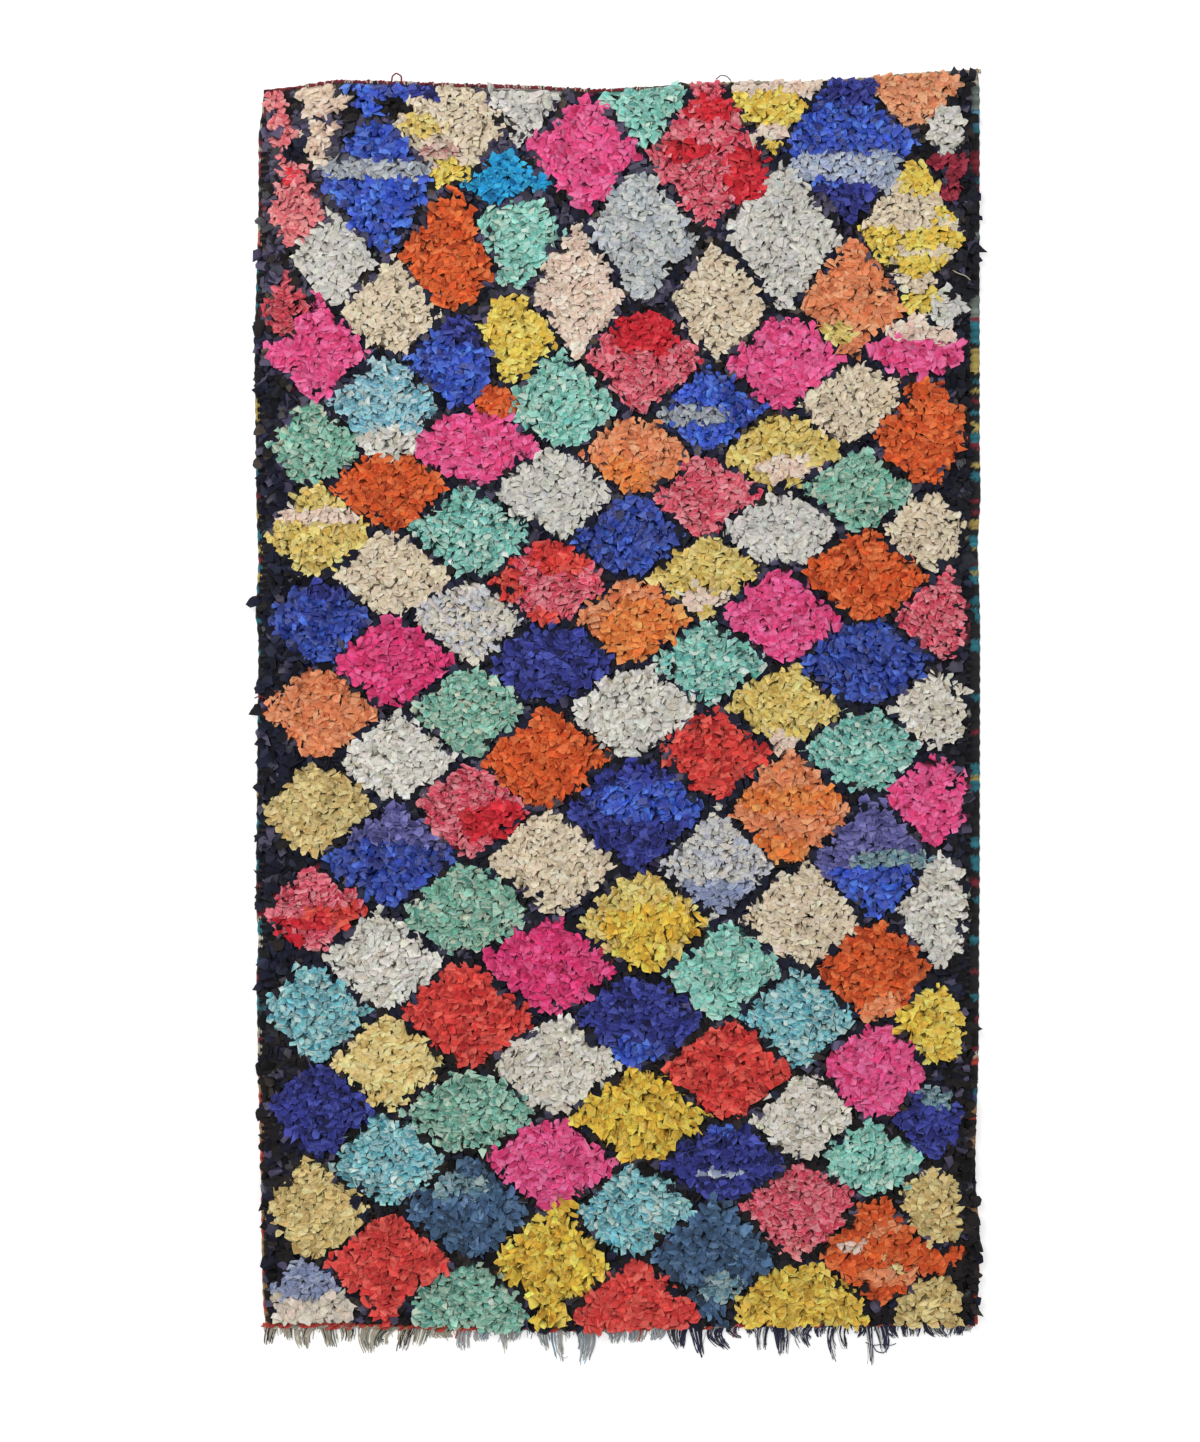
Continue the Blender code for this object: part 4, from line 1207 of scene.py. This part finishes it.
def selvedge(name, bands, side, width, inner_lift):
    """A bare woven strip down one side: weft packed tight over a few thick warps, in bands of colour."""
    rows = 640
    columns = 7
    along = np.linspace(-1.176, 1.240, rows + 1)
    edge = side(along)
    outward = -1.0 if side is left_side else 1.0
    edge = edge + outward * (0.5 * np.sin(along * 310) + 0.35 * np.sin(along * 1450)) * MM - outward * 1.2 * MM
    low_x = edge - outward * width
    end_low = bottom_end(edge) + 1.0 * MM
    end_high = top_end(edge) - 1.0 * MM
    y = end_low + (along - along[0]) / (along[-1] - along[0]) * (end_high - end_low)
    across = np.linspace(0, 1, columns + 1)
    x = edge[:, None] + across[None, :] * (low_x - edge)[:, None]
    yy = np.repeat(y[:, None], columns + 1, 1) + 0.9 * MM * np.sin(across * 7.0)[None, :]
    weft = np.sin(np.arange(rows + 1) * math.pi / 2)  # every row of weft is a small rib
    warps = np.abs(np.sin(across * math.pi * (width / (5.2 * MM))))
    height = 3.0 * MM + 1.15 * MM * warps[None, :] + 0.45 * MM * weft[:, None] + inner_lift * across[None, :] ** 2
    height[:, 0] = 1.9 * MM
    count = (rows + 1) * (columns + 1)
    above = np.stack([x.ravel(), yy.ravel(), height.ravel()], 1)
    below = above.copy()
    below[:, 2] = np.where(np.tile(across, rows + 1) == 0, 1.3 * MM, 0.35 * MM)
    a = (np.arange(rows)[:, None] * (columns + 1) + np.arange(columns)[None, :]).ravel()
    upper = np.stack([a, a + columns + 1, a + columns + 2, a + 1], 1)
    lower = upper[:, ::-1] + count
    rim = np.concatenate([
        np.arange(columns),
        np.arange(rows) * (columns + 1) + columns,
        rows * (columns + 1) + np.arange(columns, 0, -1),
        np.arange(rows, 0, -1) * (columns + 1),
    ])
    follow = np.roll(rim, -1)
    sides = np.stack([rim, follow, follow + count, rim + count], 1)
    faces = np.concatenate([upper, lower, sides])
    if outward > 0:
        faces = faces[:, ::-1]
    down = chart_y(yy) + 1.0 * np.sin(x * 800 + yy * 60) + rng.normal(0, 0.35, yy.shape)
    colour = np.zeros((rows + 1, columns + 1, 3))
    colour[:] = linear(YARNS["black"])
    for low, high, yarn in bands:
        here = (down >= low) & (down < high)
        colour[here] = linear(YARNS[yarn])
    # each row of weft its own tone; the lowest rows of weft and the grooves between the warps darker: painted shade
    colour *= np.exp(rng.normal(0, 0.16, (rows + 1, 1, 1))) * (0.72 + 0.28 * (weft[:, None, None] > -0.5)) * (0.7 + 0.3 * warps)[None, :, None]
    tint = np.tile(colour.reshape(-1, 3), (2, 1))
    uv = np.stack([x.ravel(), yy.ravel()], 1)
    return mesh_object(name, np.concatenate([above, below]), [faces], YARN_WEFT, uvs=np.tile(uv, (2, 1)), tint=tint, sharp=60.0)


YARN_WEFT = yarn_material("yarn_weft", 0.0034)
YARN_WARP = yarn_material("yarn_warp", 0.0042)
YARN_CORD = yarn_material("yarn_cord", 0.0046)


def wraps(start, end, edge, count, colours, z, size, slant=0.5, shift=0.0):
    """A twined cord: short slanting stitches side by side along an edge."""
    x = np.linspace(start, end, count) + rng.normal(0, 0.6, count) * MM
    y = edge(x) + shift + rng.normal(0, 0.7, count) * MM
    step = abs(end - start) / count
    lines = np.zeros((count, 5, 3))
    t = np.linspace(-1, 1, 5)
    lines[:, :, 0] = x[:, None] + t[None, :] * step * slant
    lines[:, :, 1] = y[:, None] + t[None, :] * size * 1.15
    lines[:, :, 2] = z - 0.9 * MM * t[None, :] ** 2
    lines[:, :, 1] += 0.5 * MM * rng.normal(0, 1, (count, 1))
    radii = np.array((0.45, 0.9, 1.0, 0.9, 0.45))[None, :] * size * np.clip(rng.normal(1, 0.15, (count, 1)), 0.6, 1.4)
    return tubes(lines, np.repeat(radii, 1, 0), colours, sides=6)


def picked(names, weights, count):
    chosen = rng.choice(len(names), count, p=np.array(weights, float) / sum(weights))
    colours = linear(np.array([YARNS[names[i]] for i in chosen]))
    return np.clip(colours * np.exp(rng.normal(0, 0.12, (count, 1))), 0, 0.9)


def make_top_cord():
    """The flat-woven heading at the upper end: rows of weft, then a dark red cord with cream knots on it."""
    lots = []
    left, right = world_x(268), world_x(980)
    # three rows of weft under the cord, over the whole width
    for index in range(3):
        shift = (-7.2 + 2.6 * index) * MM
        for part in range(36):
            low = left + (right - left) * part / 36 - 0.004
            high = left + (right - left) * (part + 1) / 36 + 0.004
            steps = 12
            x = np.linspace(low, high, steps)
            y = top_end(x) + shift + 0.5 * MM * np.sin(x * 300 + index * 2.1)
            z = 2.5 * MM + 0.4 * MM * np.sin(x * 260 + index)
            if chart_x(low) < 665:
                colour = picked(("red", "black", "cream"), (5, 2, 1.5), 1)
            else:
                colour = picked(("cream", "oat", "tan"), (4, 3, 1.5), 1)
            lots.append(tubes(np.stack([x, y, z], 1)[None], np.full((1, steps), 1.45 * MM), colour, sides=5))
    edge = top_end
    lots.append(wraps(world_x(298), world_x(640), edge, 140, picked(("red", "red", "black"), (6, 2, 0.6), 140), 4.6 * MM, 2.5 * MM, 1.0, -3.4 * MM))
    # cream knots showing over the cord
    knots_x = np.sort(rng.uniform(world_x(302), world_x(666), 62))
    loops = np.zeros((62, 6, 3))
    t = np.linspace(0, 1, 6)
    swing = rng.normal(0, 2.4, (62, 1)) * MM
    loops[:, :, 0] = knots_x[:, None] + swing * t[None, :]
    loops[:, :, 1] = top_end(knots_x)[:, None] - 6.6 * MM + 6.4 * MM * t[None, :]
    loops[:, :, 2] = 3.6 * MM + 3.6 * MM * np.sin(t * math.pi)[None, :]
    lots.append(tubes(loops, np.full((62, 6), 1.35 * MM), picked(("cream", "white", "oat"), (5, 1, 2), 62), sides=5))
    # soft beige loops on the right
    count = 110
    at = np.sort(rng.uniform(world_x(668), world_x(978), count))
    loops = np.zeros((count, 7, 3))
    t = np.linspace(0, 1, 7)
    wide = rng.normal(3.6, 1.2, (count, 1)) * MM
    loops[:, :, 0] = at[:, None] + wide * np.cos(t * math.pi)[None, :]
    loops[:, :, 1] = top_end(at)[:, None] - 5.2 * MM + rng.uniform(2.2, 5.6, (count, 1)) * MM * np.sin(t * math.pi)[None, :]
    loops[:, :, 2] = 2.9 * MM + 1.3 * MM * np.sin(t * math.pi)[None, :]
    lots.append(tubes(loops, np.full((count, 7), 1.25 * MM), picked(("cream", "oat", "tan", "white"), (5, 3, 1.2, 1), count), sides=5))
    verts, faces, uvs, tint = joined(lots)
    return mesh_object("top_cord", verts, faces, YARN_CORD, uvs=uvs, tint=tint, sharp=70.0)


def make_bottom_cord():
    """The coral cord twined along the lower end, above the fringe."""
    lots = []
    left, right = world_x(264), world_x(974)
    count = 176
    names, weights = ("coral", "bright_red", "tan"), (7, 1.0, 0.5)
    colours = picked(names, weights, count)
    # the cord dips under the warp ends here and there, more often on the right
    place = chart_x(np.linspace(left, right, count))
    dips = np.sin(place * 0.33 + 1.9 * np.sin(place * 0.071)) + rng.normal(0, 0.45, count) < np.where(place < 470, -0.45, -0.1)
    colours[dips] = 0.75 * np.concatenate([fringe_yarn(world_x(at), 1) for at in place[dips]])
    lots.append(wraps(left, right, lambda x: bottom_end(x) + 1.3 * MM * np.sin(x * 61) + 0.9 * MM * np.sin(x * 173), count, colours, 5.6 * MM, 2.9 * MM, 0.9, 3.8 * MM))
    # a second, broken row of stitches above it, on the left
    for low, high in ((268, 281), (288, 293), (299, 313), (318, 345), (350, 362), (369, 392), (398, 411), (418, 449)):
        stitches = max(3, int((high - low) / 2.4))
        lots.append(wraps(world_x(low), world_x(high), bottom_end, stitches, picked(("coral", "bright_red"), (7, 1), stitches), 6.6 * MM, 2.5 * MM, 0.8, (8.4 + rng.normal(0, 0.9)) * MM))
    for index in range(2):
        for part in range(30):
            low = left + (right - left) * part / 30 - 0.004
            high = left + (right - left) * (part + 1) / 30 + 0.004
            x = np.linspace(low, high, 12)
            y = bottom_end(x) + (5.0 + 2.6 * index) * MM + 0.5 * MM * np.sin(x * 280 + index)
            z = 2.6 * MM + 0.3 * MM * np.sin(x * 240)
            lots.append(tubes(np.stack([x, y, z], 1)[None], np.full((1, 12), 1.5 * MM), picked(("coral", "tan", "brown"), (5, 2, 1), 1), sides=6))
    # loose coral ends hanging over the fringe
    for at, low, wide in ((456, 1340, 3), (463, 1343, 4), (470, 1339, 2), (640, 1343, 3), (734, 1339, 2)):
        x0 = float(world_x(at))
        y0, y1 = float(bottom_end(x0)) + 2 * MM, float(world_y(low))
        t = np.linspace(0, 1, 8)
        line = np.stack([x0 + wide * MM * np.sin(t * 5) * 0.5, y0 + (y1 - y0) * t, 3.6 * MM - 1.8 * MM * t], 1)
        lots.append(tubes(line[None], np.full((1, 8), 1.5 * MM), picked(("coral", "bright_red"), (2, 1), 1), sides=5))
    verts, faces, uvs, tint = joined(lots)
    return mesh_object("bottom_cord", verts, faces, YARN_CORD, uvs=uvs, tint=tint, sharp=70.0)


# Clumps of warp ends at the lower end, in millimetres: the root's middle, half
# its width, how far the tip reaches below the end, and how far it leans.
CLUMPS = (
    (-668, 11, 34, -5), (-634, 15, 26, 4), (-600, 17, 42, 6), (-562, 15, 38, 10), (-526, 12, 27, 4),
    (-478, 24, 49, -2), (-437, 13, 36, -8), (-404, 12, 43, -10), (-376, 14, 33, -4), (-336, 22, 17, 0),
    (-296, 14, 41, -6), (-258, 18, 22, 4), (-226, 8, 45, 2), (-198, 16, 22, 0), (-143, 9, 39, 4),
    (-117, 10, 60, 4), (-64, 18, 66.8, -2), (-14, 16, 26, 0), (34, 24, 25, 0), (78, 13, 22, 0),
    (117, 19, 40, 4), (150, 12, 58, 11), (193, 15, 44, 9), (228, 9, 23, 0), (262, 13, 15, 4),
    (286, 11, 48, -6), (313, 14, 58, 8), (342, 11, 24, 0), (368, 13, 44, 6), (398, 12, 23, 8),
    (420, 8, 70, -2), (441, 9, 46, 8), (464, 12, 24, 4), (485, 8, 77.9, 6), (508, 12, 54, 12),
    (534, 10, 26, 4), (566, 18, 24, 4), (612, 18, 25, 8), (652, 15, 21, 2), (682, 11, 13, 2),
)


def fringe_yarn(at, count):
    """Colours of the warp ends at one place across the lower end, in metres."""
    down = float(chart_x(at))
    if down < 455:
        return picked(("oat", "cream", "brown", "sage"), (6, 3, 1.4, 1), count)
    if down < 665:
        return picked(("grey_blue", "white", "oat", "sky"), (7, 2.5, 1.2, 0.4), count)
    if down < 958:
        return picked(("navy", "black", "white", "grey_blue"), (8, 1.6, 1.1, 0.6), count)
    return picked(("aqua", "pink", "oat"), (3, 3, 2), count)


def make_fringe():
    lots = []
    steps = 7
    t = np.linspace(0, 1, steps)
    for index, (across, half, reach, lean) in enumerate(CLUMPS):
        place = float(chart_x(across * MM))
        dark = 665 < place < 958
        thin = half <= 9 and reach > 40
        count = 8 if thin else int(round(half * 1.5))
        spread = rng.uniform(-1, 1, count)
        root = (across + spread * half * 1.1) * MM
        long = np.clip(rng.normal(0.80, 0.14, count), 0.45, 0.97)
        long[rng.integers(count)] = 1.0
        sway = lean + rng.normal(-3.0 if place < 400 else 0.0, 6.0)
        gather = 0.35 if thin else rng.uniform(0.45, 0.95)
        tip_x = (across + sway * long + spread * half * gather) * MM
        start = bottom_end(root) + 4.0 * MM
        finish = bottom_end(across * MM) - reach * long * MM + 0.8 * MM
        lines = np.zeros((count, steps, 3))
        ease = t[None, :] ** 1.2
        hook = rng.normal(0, 4.6) * MM * np.sin(t[None, :] * math.pi)
        wave = hook + rng.normal(0, 1.3, (count, 1)) * MM * np.sin(t[None, :] * math.pi * rng.uniform(1.0, 2.6, (count, 1)) + rng.uniform(0, 6, (count, 1))) * t[None, :]
        lines[:, :, 0] = root[:, None] + (tip_x - root)[:, None] * ease + wave
        lines[:, :, 1] = start[:, None] + (finish - start)[:, None] * t[None, :]
        lines[:, :, 2] = (2.9 + rng.uniform(-1.4, 1.6, (count, 1))) * MM - 0.9 * MM * t[None, :]
        lines[:, :, 2] += 0.35 * MM * np.sin(t[None, :] * 9 + rng.uniform(0, 6, (count, 1)))
        radii = rng.uniform(1.05, 1.65, (count, 1)) * MM * (1.0 - 0.45 * t[None, :] ** 1.5)
        lots.append(tubes(lines, radii, fringe_yarn(across * MM, count), sides=4))
    # the short warp ends all along between the clumps
    count = 340
    at = np.sort(rng.uniform(world_x(262), world_x(975), count))
    reach = np.clip(rng.gamma(3.0, 3.4, count), 3, 22) * MM
    lines = np.zeros((count, 5, 3))
    t = np.linspace(0, 1, 5)
    lines[:, :, 0] = at[:, None] + rng.normal(0, 3.4, (count, 1)) * MM * t[None, :] + rng.normal(0, 1.2, (count, 1)) * MM * np.sin(t * 4)[None, :]
    start = bottom_end(at) + 4 * MM
    lines[:, :, 1] = start[:, None] - (reach + 4 * MM)[:, None] * t[None, :]
    lines[:, :, 2] = (2.3 + rng.uniform(-1.0, 1.0, (count, 1))) * MM - 0.6 * MM * t[None, :]
    colours = np.concatenate([fringe_yarn(place, 1) for place in at])
    lots.append(tubes(lines, rng.uniform(0.9, 1.5, (count, 1)) * MM * (1 - 0.35 * t[None, :]), colours, sides=4))
    # a few ends that wander sideways: (points across and down the chart), colour, radius
    for points, yarn, radius in (
        (((872, 1336), (873, 1346), (877, 1353), (884, 1355), (889, 1350), (890, 1342), (888, 1335)), "navy", 1.2),
        (((866, 1344), (874, 1347), (884, 1346), (892, 1347), (897, 1345)), "navy", 1.0),
        (((556, 1352), (560, 1358), (565, 1360), (568, 1358)), "grey_blue", 0.7),
        (((838, 1333), (840, 1342), (842, 1349), (845, 1351)), "white", 0.7),
        (((706, 1334), (704, 1343), (702, 1351), (702, 1356)), "white", 0.8),
        (((758, 1335), (761, 1343), (760, 1351)), "white", 0.8),
        (((786, 1334), (783, 1345), (784, 1356)), "white", 0.8),
        (((831, 1334), (833, 1346), (832, 1356), (833, 1362)), "white", 0.7),
        (((870, 1336), (868, 1348), (869, 1358), (868, 1366)), "white", 0.8),
    ):
        chart = np.array(points, float)
        steps = 4 * (len(chart) - 1) + 1
        at = np.linspace(0, len(chart) - 1, steps)
        x = np.interp(at, np.arange(len(chart)), chart[:, 0])
        y = np.interp(at, np.arange(len(chart)), chart[:, 1])
        smooth = np.array((0.25, 0.5, 0.25))
        x[1:-1], y[1:-1] = np.convolve(x, smooth, "valid"), np.convolve(y, smooth, "valid")
        line = np.stack([world_x(x), np.maximum(world_y(y), fringe_low.y + 1.0 * MM), np.full(steps, 2.9 * MM)], 1)
        lots.append(tubes(line[None], np.full((1, steps), radius * MM), linear(np.array([YARNS[yarn]])), sides=5))
    verts, faces, uvs, tint = joined(lots)
    return mesh_object("warp_ends", verts, faces, YARN_WARP, uvs=uvs, tint=tint, sharp=70.0)


def make_threads():
    """Loose ends of weft that stand out of the pile, as (points across and down the chart), height, colour, radius in mm."""
    lots = []
    for points, high, yarn, radius in (
        (((391, 81), (392, 75), (396, 72), (401, 75), (401, 81)), 10, "red", 1.6),
        (((716, 78), (721, 74), (727, 75), (731, 79)), 9, "brown", 1.0),
        (((950, 268), (957, 273), (966, 276), (975, 284)), 22, "cream", 1.0),
        (((262, 98), (267, 99), (272, 103), (276, 105)), 18, "white", 0.9),
        (((254, 888), (258, 886), (264, 887), (270, 889)), 13, "brown", 1.1),
        (((254, 698), (259, 696), (265, 698), (271, 699)), 13, "red", 1.3),
        (((966, 474), (972, 478), (976, 476), (979, 480)), 8, "teal", 1.2),
    ):
        chart = np.array(points, float)
        steps = 5 * (len(chart) - 1) + 1
        at = np.linspace(0, len(chart) - 1, steps)
        x = np.interp(at, np.arange(len(chart)), chart[:, 0])
        y = np.interp(at, np.arange(len(chart)), chart[:, 1])
        smooth = np.array((0.25, 0.5, 0.25))
        x[1:-1], y[1:-1] = np.convolve(x, smooth, "valid"), np.convolve(y, smooth, "valid")
        z = high * MM * np.sin(np.linspace(0.35, math.pi - 0.25, steps)) ** 0.5
        line = np.stack([world_x(x), world_y(y), z], 1)
        lots.append(tubes(line[None], np.full((1, steps), radius * MM), linear(np.array([YARNS[yarn]])), sides=6))
    verts, faces, uvs, tint = joined(lots)
    return mesh_object("loose_threads", verts, faces, YARN_CORD, uvs=uvs, tint=tint, sharp=70.0)


ground = make_ground()
left_strip = selvedge("left_selvedge", LEFT_BANDS, left_side, 19 * MM, 0.6 * MM)
right_strip = selvedge("right_selvedge", RIGHT_BANDS, right_side, 29 * MM, 0.6 * MM)
top_cord = make_top_cord()
bottom_cord = make_bottom_cord()
warp_ends = make_fringe()
threads = make_threads()

# --- how the pieces go with the frame ---------------------------------------

for name, obj in made.items():
    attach(obj, "root")
    if name.startswith("pile_"):
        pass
    elif name == "warp_ends":
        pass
    else:
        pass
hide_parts("rug_body")
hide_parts("warp_fringe")

# --- the floor, light and camera --------------------------------------------

floor_mesh = bpy.data.meshes.new("studio_floor")
floor_mesh.from_pydata([(-30, -30, -0.0006), (30, -30, -0.0006), (30, 30, -0.0006), (-30, 30, -0.0006)], [], [(0, 1, 2, 3)])
floor_look = Nodes("studio_white")
floor_look.shader.inputs["Base Color"].default_value = (0.86, 0.86, 0.86, 1.0)
floor_look.shader.inputs["Roughness"].default_value = 1.0
floor_look.shader.inputs["Specular IOR Level"].default_value = 0.0
floor_look.shader.inputs["Emission Color"].default_value = (1.0, 1.0, 1.0, 1.0)
floor_look.shader.inputs["Emission Strength"].default_value = 0.40
floor_mesh.materials.append(floor_look.material)
floor = bpy.data.objects.new("studio_floor", floor_mesh)
bpy.context.scene.collection.objects.link(floor)

world = bpy.data.worlds.new("studio")
bpy.context.scene.world = world
world.use_nodes = True
background = world.node_tree.nodes["Background"]
background.inputs["Color"].default_value = (1.0, 1.0, 1.0, 1.0)
background.inputs["Strength"].default_value = 0.60


def softbox(name, place, aim, width, height, power, colour=(1.0, 1.0, 1.0)):
    light = bpy.data.lights.new(name, "AREA")
    light.shape = "RECTANGLE"
    light.size, light.size_y = width, height
    light.energy = power
    light.color = colour
    obj = bpy.data.objects.new(name, light)
    bpy.context.scene.collection.objects.link(obj)
    obj.location = place
    towards = np.array(aim, float) - np.array(place, float)
    obj.rotation_euler = Vector(towards).to_track_quat("-Z", "Y").to_euler()
    return obj


softbox("key", (-2.8, 2.8, 4.2), (0, 0, 0), 3.4, 3.4, 134, (1.0, 0.985, 0.96))
softbox("fill", (3.4, 0.4, 4.0), (0, 0, 0), 3.4, 3.4, 24, (0.96, 0.98, 1.0))

camera_data = bpy.data.cameras.new("camera")
camera_data.type = "PERSP"
camera_data.lens = 85.0
camera_data.sensor_fit = "AUTO"
camera_data.sensor_width = 36.0
camera_data.clip_start = 0.1
camera_data.clip_end = 100.0
camera = bpy.data.objects.new("camera", camera_data)
bpy.context.scene.collection.objects.link(camera)
# the whole frame is 1200 by 1442 chart units, its middle at (600, 721)
camera.location = (float(world_x(600)), float(world_y(721)), 0.02 + 1442 * UNIT * camera_data.lens / 36.0)
camera.rotation_euler = (0.0, 0.0, 0.0)
bpy.context.scene.camera = camera

scene = bpy.context.scene
scene.view_settings.view_transform = "Standard"
scene.view_settings.look = "None"
scene.view_settings.exposure = 0.0
scene.view_settings.gamma = 1.0
